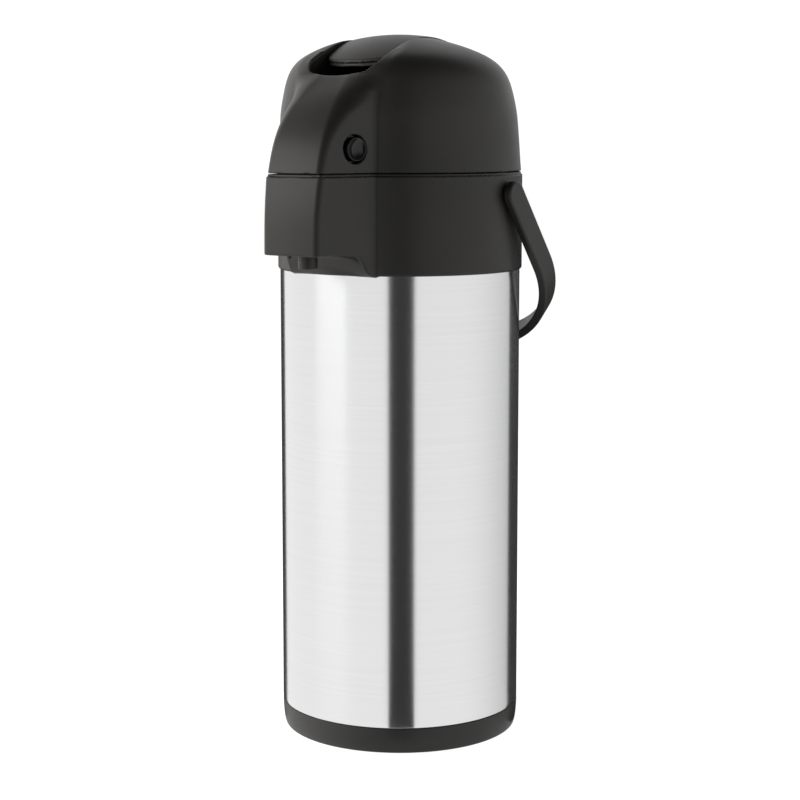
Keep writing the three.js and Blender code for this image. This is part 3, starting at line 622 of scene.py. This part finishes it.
def rounded(corners, steps=5):
    """A closed outline through (r, z) or (r, z, radius) corners, those with a radius rounded to it."""
    points = []
    for i, (r, z, *radius) in enumerate(corners):
        here = np.array([r, z], float)
        if not radius or radius[0] <= 0:
            points.append(tuple(here))
            continue
        before = np.array(corners[i - 1][:2], float) - here
        after = np.array(corners[(i + 1) % len(corners)][:2], float) - here
        reach = min(radius[0], 0.48 * np.linalg.norm(before), 0.48 * np.linalg.norm(after))
        start = here + before / np.linalg.norm(before) * reach
        stop = here + after / np.linalg.norm(after) * reach
        for t in np.linspace(0, 1, steps + 1):
            points.append(tuple((1 - t) ** 2 * start + 2 * t * (1 - t) * here + t * t * stop))
    return points


def turned(corners, segments):
    """Points and faces of a body of revolution about Z. The outline may touch the axis."""
    outline = rounded(corners)
    area = sum(a[0] * b[1] - b[0] * a[1] for a, b in zip(outline, outline[1:] + outline[:1]))
    if area < 0:
        outline.reverse()
    points, rings = [], []
    for r, z in outline:
        if r < 1e-6:
            rings.append([len(points)] * segments)
            points.append((0, 0, z))
        else:
            rings.append(list(range(len(points), len(points) + segments)))
            for i in range(segments):
                angle = 2 * math.pi * i / segments
                points.append((r * math.cos(angle), r * math.sin(angle), z))
    faces = []
    for ring, after in zip(rings, rings[1:] + rings[:1]):
        for i in range(segments):
            j = (i + 1) % segments
            face = []
            for corner in (ring[i], ring[j], after[j], after[i]):
                if corner not in face:
                    face.append(corner)
            if len(face) > 2:
                faces.append(tuple(face))
    return points, faces


def add_turned(name, corners, body, nodes, slot, look=None, segments=160, sharp=32):
    points, faces = turned(corners, segments)
    add_piece(name, points, faces, body, nodes, slot, look, sharp=sharp)


# ---------------------------------------------------------------- base and vessel


def make_vessel():
    add_turned("base_ring", [
        (0, 2.3), (58.5, 2.3, 0.3), (58.5, 0.5, 0.4), (66.3, 0.45, 0.7), (66.9, 1.9, 0.8), (67.5, 5.2, 2.0),
        (67.9, 10.5, 2.4), (68, 14.7, 0.35), (66.8, 14.7), (66.8, 20), (65, 20), (65, 4.8), (0, 4.8),
    ], "vessel", ["base_cover"], "satin_black", look="base_black", segments=200)
    add_turned("foot_pad", [
        (0, 0), (34, 0), (34, 0.5, 0.2), (36, 0.5, 0.2), (36, 0), (46, 0), (46, 0.5, 0.2), (48, 0.5, 0.2),
        (48, 0), (57.8, 0, 0.5), (57.8, 2), (0, 2),
    ], "vessel", ["base_pad"], "black_rubber")
    add_turned("steel_wall", [
        (67.25, 15.0, 0.2), (67.85, 15.05, 0.6), (68, 16.6, 0.6), (68, 264.7), (67.2, 264.7), (67.2, 16.0),
    ], "vessel", ["outer_shell"], "brushed_shell", segments=256)
    add_turned("inner_flask", [
        (0, 27), (54, 27, 4), (61.5, 36, 4), (61.5, 256, 5), (56, 268, 4), (38.8, 281, 3), (38.8, 291, 0.6),
        (47, 291, 0.3), (47, 291.8, 0.3), (38, 291.8, 0.9), (38, 280.4, 3), (55.4, 267.3, 4), (60.7, 255.8, 5),
        (60.7, 36.2, 4), (53.5, 27.8, 4), (0, 27.8),
    ], "vessel", ["liner"], "plain_steel")


# ---------------------------------------------------------------- collar

# How far back the nose's front leans by height, and how low its underside is by distance forward.
NOSE_LEAN = table([(250, 0), (290, 0), (296, 0.25), (304, 1.0), (312, 2.1), (317.5, 2.9), (330, 4.7)], 2.0)
NOTCH = table([
    (40, COLLAR_BOTTOM), (64.4, COLLAR_BOTTOM), (66.4, 264.8), (68.6, 267.2), (70.4, 270.4), (72.2, 273.4),
    (74.6, 275.1), (77.5, NOSE_BOTTOM), (120, NOSE_BOTTOM),
], 0.5)
NOSE_HALF, CHEEK_FRONT, CHEEK_SLOPE = 17.9, 101.5, 0.265
NOSE_TIP, NOSE_BOW = 101.9, 420
NOSE_ROOT = 45
COLLAR_BARRELS = ((13.1, 21.0), (-21.0, -13.1))


def nose_plan(x, y, z, inset=0.0):
    """The nose of the collar from above: its slanting cheeks and slightly bowed front."""
    q = -y
    cheek = (np.abs(x) - NOSE_HALF - CHEEK_SLOPE * (CHEEK_FRONT - q)) / math.hypot(1, CHEEK_SLOPE) + inset
    front = q + x * x / NOSE_BOW - (NOSE_TIP - at(NOSE_LEAN, z)) + inset
    return smooth_max(cheek, front, max(2.4 - inset, 0.8))


def collar_field(x, y, z):
    """A ring and its nose, stepped at the seam, hollow, with two hinge barrels and the pivot holes."""
    radius = np.hypot(x, y)
    ring = smooth_max(radius - COLLAR_RADIUS, COLLAR_BOTTOM - z, 1.6)
    nose = nose_plan(x, y, z)
    floor = (at(NOTCH, -y) - z) / np.sqrt(1 + (1.6 * smooth_step(np.abs(-y - 70), 6, 0)) ** 2)
    nose = np.maximum(smooth_max(nose, floor, 0.9), NOSE_ROOT + y)
    solid = smooth_min(ring, nose, 1.0)
    step = smooth_max(solid + 0.9, z - COLLAR_TOP - 1.4, 0.3)
    solid = np.minimum(smooth_max(solid, z - COLLAR_TOP, 0.4), step)
    bore = np.maximum(radius - 66, 40 - z)
    inner = nose_plan(x, y, z, WALL)
    upper = np.maximum(inner, np.maximum(NOSE_BOTTOM - z, NOSE_ROOT + y))
    lower = np.maximum(np.maximum(inner, COLLAR_RADIUS + 5.5 - radius), NOSE_ROOT + y)
    hollow = np.minimum(np.minimum(bore, upper), lower)
    solid = smooth_max(solid, -hollow, 0.5)
    for near, far in COLLAR_BARRELS:
        barrel = rod_field(np.hypot(y - HINGE_Y, z - HINGE_Z), x, 4, near, far, 0.4)
        arm = box_field(x, y, z, (near, 65.5, 311), (far, HINGE_Y, HINGE_Z + 0.3), 0.4)
        brace = box_field(x, y, z, (near, HINGE_Y - 1, 313.5), (far, HINGE_Y + 3.6, HINGE_Z), 0.4)
        solid = smooth_min(solid, np.minimum(np.minimum(barrel, arm), brace), 0.8)
    solid = cross_bore(solid, y - HINGE_Y, z - HINGE_Z, PIN_BORE)
    return cross_bore(solid, y - PIVOT_Y, z - PIVOT_Z, PIVOT_BORE, 0.3)


def make_collar():
    add_field(
        "spout_collar", collar_field, (-73, -105, 261), (73, 81, 326), 0.85, "vessel",
        ["collar_shell"], "satin_black", most=130000,
    )


# ---------------------------------------------------------------- lid

# The dome's outline as (radius, z), and how far its middle lies forward at each height.
DOME = [
    (69.2, 306), (68.4, 318.3), (67.3, 338.5), (66.4, 352.5), (64.6, 361.8), (63.5, 366.5), (62, 371.2),
    (59.4, 375.9), (54.7, 380.6), (46.2, 385.2), (33.5, 389.9), (13.4, 394.2), (0, 395.0), (-13.4, 394.2),
    (-33.5, 389.9),
]
DOME_MIDDLE = 345.0
DOME_REACH = table([(-math.pi / 2, 90)] + [
    (math.atan2(z - DOME_MIDDLE, r), math.hypot(r, z - DOME_MIDDLE)) for r, z in DOME
], 0.05)
DOME_SLANT = (
    DOME_REACH[0],
    1 / np.sqrt(1 + (np.gradient(DOME_REACH[1], DOME_REACH[0]) / DOME_REACH[1]) ** 2),
)
DOME_RADIUS = table([(z, max(r, 28)) for r, z in DOME[:10]], 1.0)
DOME_SHIFT = table([
    (300, -0.3), (319, 0), (338, 0.5), (352, 1.2), (362, 1.5), (371, 2.1), (378.5, 3.2), (383, 4.1),
    (388, 5.4), (392, 7.0), (396, 7.6), (402, 7.6),
], 2.0)

# The line up the front of the nose and over the crown, as (distance in front of the axis, z).
TOP_LINE = [
    (102.2, 300), (98.9, 319), (96.7, 328), (92.9, 338), (82, 353.8), (68.3, 366), (60, 372.3),
    (48.5, 378.6), (44, 380.5), (38, 383.3), (30, 388), (20, 394), (10, 399), (0, 404), (-30, 412),
    (-60, 420), (-110, 400), (-130, 330), (-140, 300),
]
TOP_MIDDLE = (30.0, 320.0)


def top_angle(q, z):
    """The angle of a place on the top line round its middle, which runs on past the rear."""
    angle = math.atan2(z - TOP_MIDDLE[1], q - TOP_MIDDLE[0])
    return angle % (2 * math.pi) if q < 0 else angle


TOP_REACH = table([
    (top_angle(q, z), math.hypot(q - TOP_MIDDLE[0], z - TOP_MIDDLE[1])) for q, z in TOP_LINE
], 0.06)

# By height: how far forward the nose stands, half its width, and how round its upper edge is.
NOSE_FRONT = table([(z, q) for q, z in TOP_LINE[:10]], 1.0)
NOSE_WIDTH = table([
    (300, 17.8), (319, 17.8), (337.6, 18.1), (353.8, 19.2), (366, 21.2), (372.3, 23.5), (378.6, 26),
    (386, 27),
], 2.0)
RIDGE = table([
    (300, 2.6), (325, 3), (338, 3.8), (350, 5.6), (364, 8.5), (372, 8), (380, 6.5), (388, 6), (400, 6),
], 2.0)

# How strongly the top rises away from its middle line, above the nose.
TOP_LIFT = 3.5e-4
LID_BARREL = 12.7


def lid_form(x, y, z):
    """The lid's outer form: a dome whose middle drifts forward, joined to a nose, under one top line."""
    q = -y
    shift = at(DOME_SHIFT, z)
    radius = np.hypot(x, y + shift)
    angle = np.arctan2(z - DOME_MIDDLE, radius)
    dome = (np.hypot(radius, z - DOME_MIDDLE) - at(DOME_REACH, angle)) * at(DOME_SLANT, angle)

    half = at(NOSE_WIDTH, z)
    side = np.sqrt(np.maximum(at(DOME_RADIUS, z) ** 2 - CREASE_X**2, 1)) + shift
    front = np.maximum(at(NOSE_FRONT, z), side + 3)
    slant = np.hypot(front - side, CREASE_X - half)
    cheek = ((np.abs(x) - half) * (front - side) + (q - front) * (CREASE_X - half)) / slant
    # The cheek dies away into the dome beside the finger recess.
    fade = smooth_step(z, 362, 382)
    cheek = np.maximum(cheek, side - 4 - q) + 6 * fade

    swell = smooth_step(z, 355, 372)
    wide = np.minimum(np.abs(x), 45)
    lift = TOP_LIFT * wide**3 * swell
    bow = x * x / 300 * (1 - swell)
    high = z - lift - TOP_MIDDLE[1]
    far = q + bow - TOP_MIDDLE[0]
    turn = np.arctan2(high, far)
    turn = np.where(turn < -math.pi / 2, turn + 2 * math.pi, turn)
    tilt = 3 * TOP_LIFT * wide**2 * swell * np.clip(np.sin(turn), 0, 1)
    top = (np.hypot(far, high) - at(TOP_REACH, turn)) / np.sqrt(1.02 + tilt**2)
    return smooth_max(smooth_min(dome, cheek, 1.8 + 5 * fade), top, at(RIDGE, z))


def strip_field(x, y, half, front, bend, corner, rear, rear_corner):
    """The plan of the strip over the crown: straight sides, a bowed front and rounded corners."""
    middle = front + bend
    bow = np.where(y < middle, np.hypot(x, y - middle), np.abs(x)) - bend
    plan = smooth_max(np.abs(x) - half, bow, corner)
    return smooth_max(plan, y - rear, rear_corner)


def in_button(x, y):
    """A place in the frame of the nearer push-button: along its axis, and across it."""
    across, ahead = np.abs(x) - BUTTON_AT[0], y - BUTTON_AT[1]
    along = across * BUTTON_AXIS[0] + ahead * BUTTON_AXIS[1]
    return along, across * BUTTON_AXIS[1] - ahead * BUTTON_AXIS[0]


def lid_field(x, y, z):
    """The form as a shell, with the well under the pad, the button holes and the hinge barrel."""
    form = lid_form(x, y, z)
    strip = strip_field(x, y, half=23.1, front=-60.8, bend=74, corner=7, rear=44, rear_corner=8)
    well_block = np.maximum(strip - 2, 347.5 - z)
    solid = np.maximum(form, np.minimum(-(form + WALL), well_block))
    well = np.maximum(strip, 349.5 - z)
    rim = 0.45 + 0.75 * smooth_step(-y, 26, 46)
    solid = smooth_max(solid, -well, rim)
    solid = np.maximum(solid, -np.maximum(np.hypot(x, y) - 21.4, np.abs(z - 348) - 3))
    s, t = in_button(x, y)
    hole = np.maximum(np.hypot(t, z - BUTTON_AT[2]) - 7.7, np.abs(s - 2) - 11)
    solid = smooth_max(solid, -hole, 0.5)
    solid = smooth_max(solid, LID_BOTTOM - z, 0.4)
    barrel = rod_field(np.hypot(y - HINGE_Y, z - HINGE_Z), x, 4, -LID_BARREL, LID_BARREL, 0.4)
    web = box_field(x, y, z, (-LID_BARREL, 66.2, 318.8), (LID_BARREL, HINGE_Y, HINGE_Z + 4), 0.4)
    solid = smooth_min(solid, np.minimum(barrel, web), 0.8)
    solid = cross_bore(solid, y - HINGE_Y, z - HINGE_Z, PIN_BORE)
    pin = np.maximum(np.hypot(y - PAD_PIVOT_Y, z - PAD_PIVOT_Z) - PIN_BORE, np.abs(x) - 25)
    return np.maximum(solid, -pin)


def make_lid():
    add_field(
        "domed_lid", lid_field, (-72, -101, 312), (72, 81, 399), 0.8, "lid",
        ["lid_cover"], "satin_black", most=160000,
    )


# ---------------------------------------------------------------- pump pad

PAD_CROWN_Y, PAD_CROWN_Z = -4.0, 395.0

# How thick the pad is, and how far below its top the carrier starts.
PAD_SKIN, CARRIER_DROP = 1.4, 1.9


def pad_bend(y):
    """How strongly the pad curves along its length: more towards the finger recess."""
    return np.where(y < PAD_CROWN_Y, 0.0089, 0.0047)


def pad_height(x, y):
    along = y - PAD_CROWN_Y
    return PAD_CROWN_Z - pad_bend(y) * along**2 - x**2 * (0.0034 + 6e-5 * (np.hypot(along, 12) - 12))


def pad_plan(x, y, inset=0.0):
    return strip_field(
        x, y, half=22.3 - inset, front=-45.3 + inset, bend=45, corner=4.5, rear=43.2 - inset, rear_corner=7,
    )


def pad_depth(x, y, z):
    """The distance from the pad's top, below zero under it."""
    steep = np.hypot(2 * pad_bend(y) * (y - PAD_CROWN_Y), 0.0085 * x)
    return (z - pad_height(x, y)) / np.sqrt(1 + steep**2)


def pad_field(x, y, z):
    top = pad_depth(x, y, z)
    slab = smooth_max(pad_plan(x, y), top, 0.45)
    return smooth_max(slab, -top - PAD_SKIN, 0.15)


def carrier_field(x, y, z):
    """The plate under the pad, with the post that presses the pump and the two lugs on the pin."""
    top = pad_depth(x, y, z)
    thick = 2.6 - 1.0 * smooth_step(-y, 34, 44)
    slab = smooth_max(pad_plan(x, y, 0.35), top + CARRIER_DROP, 0.2)
    slab = smooth_max(slab, -top - CARRIER_DROP - thick, 0.5)
    post = box_field(x, y, z, (-5, -2.8, 372), (5, 2.8, 392), 0.4)
    nub = rod_field(np.hypot(y, z - 372), x, 3.4, -5, 5, 0.5)
    solid = smooth_min(slab, np.minimum(post, nub), 0.8)
    lug_x = np.abs(x)
    lug = rod_field(np.hypot(y - PAD_PIVOT_Y + 0.6, z - PAD_PIVOT_Z), lug_x, 3.6, 12, 16, 0.4)
    arm = box_field(lug_x, y, z, (12, PAD_PIVOT_Y - 4.2, PAD_PIVOT_Z), (16, PAD_PIVOT_Y + 1.5, 382.6), 0.3)
    solid = smooth_min(solid, np.minimum(lug, arm), 0.5)
    solid = np.maximum(solid, top + CARRIER_DROP)
    return cross_bore(solid, y - PAD_PIVOT_Y, z - PAD_PIVOT_Z, PIN_BORE)


def make_pad():
    add_field(
        "pump_button", pad_field, (-25, -48, 376), (25, 46, 398), 0.62, "pad",
        ["pump_pad"], "satin_black", most=70000,
    )
    add_field(
        "pump_lever", carrier_field, (-25, -48, 366), (25, 46, 397), 0.75, "pad",
        ["pad_carrier"], "satin_black", most=60000,
    )


# ---------------------------------------------------------------- push-buttons

BUTTON_FACE = 1.5
DISH_RADIUS, DISH_DEPTH = 8.6, 2.4


def button_field(s, t, z):
    """A dished button with its flange, its stem, and the latch arm that reaches down through the lid."""
    across = np.hypot(t, z - BUTTON_AT[2])
    solid = rod_field(across, s, 6.25, -5.5, BUTTON_FACE, 0.7)
    dish = DISH_RADIUS - np.hypot(across, s - (BUTTON_FACE + DISH_RADIUS - DISH_DEPTH))
    solid = smooth_max(solid, dish, 0.35)
    flange = rod_field(across, s, 8.5, -5.6, -4.3, 0.3)
    stem = rod_field(across, s, 2.6, -11.5, -5, 0.4)
    arm = box_field(s, t, z, (-7.4, -3, 309.6), (-5.4, 3, BUTTON_AT[2]), 0.35)
    toe = box_field(s, t, z, (-6, -3, 309.6), (-4.6, 3, 311.4), 0.3)
    return smooth_min(np.minimum(solid, flange), np.minimum(np.minimum(stem, arm), toe), 0.3)


def make_buttons():
    for name, side in (("left", -1), ("right", 1)):
        along = np.array([side * BUTTON_AXIS[0], BUTTON_AXIS[1], 0])
        over = np.array([-BUTTON_AXIS[1], side * BUTTON_AXIS[0], 0])
        turn = np.stack([along, over, [0, 0, 1]])
        middle = np.array([side * BUTTON_AT[0], BUTTON_AT[1], 0])
        add_field(
            f"push_button_{name}", button_field, (-12.5, -9.5, 308), (3, 9.5, 342), 0.4, f"button_{name}",
            [f"release_button_{name}"], "gloss_black", place=placed(turn, middle),
        )


# ---------------------------------------------------------------- carrying handle

HANDLE_DROP = math.radians(51.7)
HANDLE_HALF, HANDLE_ARM, HANDLE_BOW = 72.5, 49, 64.8

# The middle line of the strap, flat: along one arm, round the bow and back along the other.
HANDLE_PATH = [(HANDLE_HALF, -20)] + [
    (HANDLE_HALF * math.cos(a), HANDLE_ARM + HANDLE_BOW * math.sin(a)) for a in np.linspace(0, math.pi, 97)
] + [(-HANDLE_HALF, -20)]


def handle_field(x, u, t):
    """The strap lying flat: u runs from the pivots towards the bow, t through its width."""
    thick = line_distance(x, u, HANDLE_PATH) - 2.5
    wide = np.where(u < 0, np.hypot(u, t), np.abs(t)) - 7.3
    strap = smooth_max(thick, wide, 1.3)
    hole = np.maximum(np.hypot(u, t) - PIVOT_BORE, np.abs(x) - 73.4)
    return smooth_max(strap, -hole, 0.2)


def make_handle():
    c, s = math.cos(HANDLE_DROP), math.sin(HANDLE_DROP)
    turn = np.array([[1, 0, 0], [0, c, -s], [0, s, c]])
    middle = np.array([0, PIVOT_Y, PIVOT_Z])
    add_field(
        "carry_handle", handle_field, (-77, -9, -9.5), (77, 119, 9.5), 0.8, "handle",
        ["handle"], "satin_black", place=placed(turn, middle),
    )


# ---------------------------------------------------------------- under the lid

DECK_SCREWS = [(51.5, 29.8), (51.5, -29.8)]
LID_SCREWS = [(42.4, 42.4), (45.6, -39.0)]
SCREW_BORE = 1.9
VALVE_HOLES = np.radians([45, 135, 225, 315])


def screw_holes(x, y, places):
    """The distance to the holes for the screws, each of which has a twin across the middle."""
    return np.minimum.reduce([np.hypot(np.abs(x) - px, y - py) for px, py in places]) - SCREW_BORE


def deck_field(x, y, z):
    """The collar's deck and throat, the rim inside the lid's edge, and the slots for the latches."""
    radius = np.hypot(x, y)
    layer = np.abs(z - DECK_Z - 1.25) - 1.25
    nose = np.maximum(nose_plan(x, y, np.full_like(z, 300), WALL + 0.4), np.maximum(-95.5 - y, y + 40))
    plan = smooth_min(radius - 65.6, nose, 1.0)
    solid = smooth_max(plan, layer, 0.4)
    throat = smooth_max(radius - 45.4, np.abs(z - 303.9) - 9.3, 0.4)
    solid = smooth_min(solid, throat, 1.2)
    edge = lid_form(x, y, np.full_like(z, LID_BOTTOM))
    rim = smooth_max(np.abs(edge + 3.65) - 0.75, np.abs(z - 316) - 3, 0.3)
    solid = smooth_min(solid, rim, 0.8)
    solid = smooth_max(solid, 43.2 - radius, 0.6)
    notch = box_field(x, y, z, (-6.7, -48, 288), (6.7, -40, 308.1), 0.5)
    s, t = in_button(x, y)
    slot = box_field(s, t, z, (-12.2, -5, 300), (-3.6, 5, 330), 0.5)
    solid = smooth_max(solid, -np.minimum(notch, slot), 0.3)
    return smooth_max(solid, -screw_holes(x, y, DECK_SCREWS), 0.2)


def siphon_field(x, y, z):
    """A ring and a boss joined by two spokes, with the pipe that leads forward to the spout."""
    radius = np.hypot(x, y)
    ring = smooth_max(np.abs(radius - 38.3) - 4.3, np.abs(z - 301.45) - 7.05, 0.7)
    boss = smooth_max(radius - 8, np.abs(z - 297.15) - 11.15, 0.9)
    out = np.hypot(x, z - SPOUT_Z)
    pipe = np.minimum(rod_field(out, -y, 6, 0, 43, 0.5), rod_field(out, -y, 5.2, 40, 50, 0.5))
    solid = smooth_min(smooth_min(ring, boss, 1.2), pipe, 1.2)
    for degrees in (30, 150):
        c, s = math.cos(math.radians(degrees)), math.sin(math.radians(degrees))
        spoke = box_field(x * c + y * s, y * c - x * s, z, (2, -2, 295), (38, 2, 301), 0.6)
        solid = smooth_min(solid, spoke, 1.2)
    lower = np.maximum(radius - 5.3, z - 299.8)
    upper = np.maximum(radius - 3.6, z - SPOUT_Z)
    bore = np.maximum(out - 3.6, y - 0.5)
    return smooth_max(solid, -np.minimum(np.minimum(lower, upper), bore), 0.3)


def lid_base_field(x, y, z):
    """The lid's floor with its lip, the pillar in the nose, and the cup for bellows and valve."""
    radius = np.hypot(x, y)
    plan = lid_form(x, y, np.full_like(z, 321)) + 2.9
    solid = smooth_max(plan, np.abs(z - 321.25) - 1.25, 0.4)
    edge = lid_form(x, y, np.full_like(z, LID_BOTTOM))
    lip = smooth_max(np.abs(edge + 5.6) - 0.7, np.abs(z - 319.2) - 1.0, 0.3)
    solid = smooth_min(solid, lip, 0.4)
    pillar = box_field(x, y, z, (-7, -80, 321), (7, -62, 341), 0.5)
    cup = smooth_max(radius - 41.5, np.abs(z - 316.5) - 4.8, 0.9)
    solid = smooth_min(smooth_min(solid, pillar, 0.8), cup, 1.0)
    solid = np.maximum(solid, -np.maximum(radius - 39.5, 314 - z))
    ring = np.minimum.reduce([
        np.hypot(x - 5.5 * math.cos(a), y - 5.5 * math.sin(a)) for a in VALVE_HOLES
    ]) - 1.6
    solid = smooth_max(solid, -np.minimum(ring, radius - 2.3), 0.25)
    s, t = in_button(x, y)
    slot = box_field(s, t, z, (-11.6, -4, 318), (-3.6, 4, 326), 0.4)
    solid = smooth_max(solid, -slot, 0.3)
    return smooth_max(solid, -np.maximum(screw_holes(x, y, LID_SCREWS), z - 325), 0.2)


# The spout's middle line as (y, z): forward, round a bend, and down through the nozzle.
BEND_Y, BEND = -76, 9.6
SPOUT_PATH = [(-40, SPOUT_Z), (BEND_Y, SPOUT_Z)] + [
    (BEND_Y - BEND * (2 * t * (1 - t) + t * t), SPOUT_Z - BEND * t * t) for t in np.linspace(0.1, 0.9, 9)
] + [(NOZZLE_Y, SPOUT_Z - BEND), (NOZZLE_Y, 250)]


def spout_field(x, y, z):
    out = np.hypot(line_distance(y, z, SPOUT_PATH), x)
    solid = smooth_max(out - 5.25, np.maximum(NOZZLE_BOTTOM - z, y + 50.3), 0.6)
    return smooth_max(solid, 3.7 - out, 0.5)


def screw_field(x, y, z):
    """A pan-head screw with its head up from z 0, a cross recess, and its shank below."""
    radius = np.hypot(x, y)
    head = smooth_max(smooth_max(radius - 2.9, z - 1.6 + 0.09 * radius**2, 0.4), -z, 0.2)
    arms = np.minimum(
        np.maximum(np.abs(x) - 0.45, np.abs(y) - 1.7), np.maximum(np.abs(y) - 0.45, np.abs(x) - 1.7)
    )
    head = smooth_max(head, -np.maximum(arms, 0.5 - z), 0.15)
    shank = smooth_max(radius - 1.5, np.maximum(z - 0.5, -11.5 - z), 0.3)
    return smooth_min(head, shank, 0.2)


def add_screws(body, prefix, places, seat, way):
    """Screws at each place and its twin, their heads on the seat, facing up where way is 1."""
    spots = [(side * px, py) for px, py in places for side in (1, -1)]
    for count, (px, py) in enumerate(spots, 1):
        add_field(
            f"{prefix}_head_{count}", screw_field, (-3.4, -3.4, -12), (3.4, 3.4, 2.2), 0.3, body,
            [f"{prefix}_{count}"], "screw_steel",
            place=placed(np.diag([1.0, way, way]), np.array([px, py, seat])),
        )


def make_inside():
    add_field(
        "collar_deck_plate", deck_field, (-68, -98, 292), (68, 68, 321), 0.72, "vessel",
        ["collar_deck"], "satin_black", most=90000,
    )
    add_field(
        "siphon_core", siphon_field, (-45, -52, 284), (45, 45, 310), 0.7, "vessel",
        ["siphon_head"], "pale_plastic", most=50000,
    )
    add_field(
        "lid_floor", lid_base_field, (-68, -97, 309), (68, 68, 343), 0.8, "lid",
        ["lid_base"], "satin_black", most=80000,
    )
    add_field(
        "pour_spout", spout_field, (-7, -93, 266), (7, -48, 309), 0.45, "vessel",
        ["spout_pipe"], "satin_black", most=50000,
    )
    add_screws("vessel", "deck_screw", DECK_SCREWS, 315.0, 1)
    add_screws("lid", "lid_screw", LID_SCREWS, 319.7, -1)
    add_turned("lid_gasket", [
        (35, 308.8, 0.5), (37.2, 308.8, 0.4), (37.2, 309.3, 0.3), (39, 309.3, 0.3), (39, 308.8, 0.4),
        (41.2, 308.8, 0.5), (41.2, 311.4, 0.3), (35, 311.4, 0.3),
    ], "lid", ["lid_seal"], "grey_silicone")
    add_turned("flap_valve", [
        (0, 310.4), (9, 310.4, 0.5), (9, 311.4, 0.3), (2, 311.4, 0.4), (2, 314.3), (3.2, 314.8, 0.4),
        (0, 316.6),
    ], "lid", ["check_valve"], "grey_silicone", segments=72)


# ---------------------------------------------------------------- the rest

SOFT_EDGE, SOFT_ANGLE = 0.2, 40
SOFT_EDGED = [
    "base_screw_1", "base_screw_2", "base_screw_3", "handle_pivot_pin_left", "handle_pivot_pin_right",
    "lid_hinge_pin", "pad_pivot_pin",
]


def dress_frame():
    """CAD nodes that are still shown get materials by their slots in the record.

    The screws and pins among them get softened edges, once their points are joined.
    """
    slots = {row["node"]: row["material_slot"] for row in frame["record"]["subparts"]}
    for name, node in NODES.items():
        look = MATERIALS[slots[name]]
        if node.data.materials:
            for place in node.material_slots:
                place.material = look
        else:
            node.data.materials.append(look)
    for name in SOFT_EDGED:
        joined = NODES[name].modifiers.new("joined", "WELD")
        joined.merge_threshold = 1e-6
        edge = NODES[name].modifiers.new("soft_edge", "BEVEL")
        edge.width = SOFT_EDGE * MM
        edge.segments = 2
        edge.limit_method = "ANGLE"
        edge.angle_limit = math.radians(SOFT_ANGLE)


make_camera()
make_materials()
make_stage()
make_vessel()
make_collar()
make_lid()
make_pad()
make_buttons()
make_handle()
make_inside()
dress_frame()
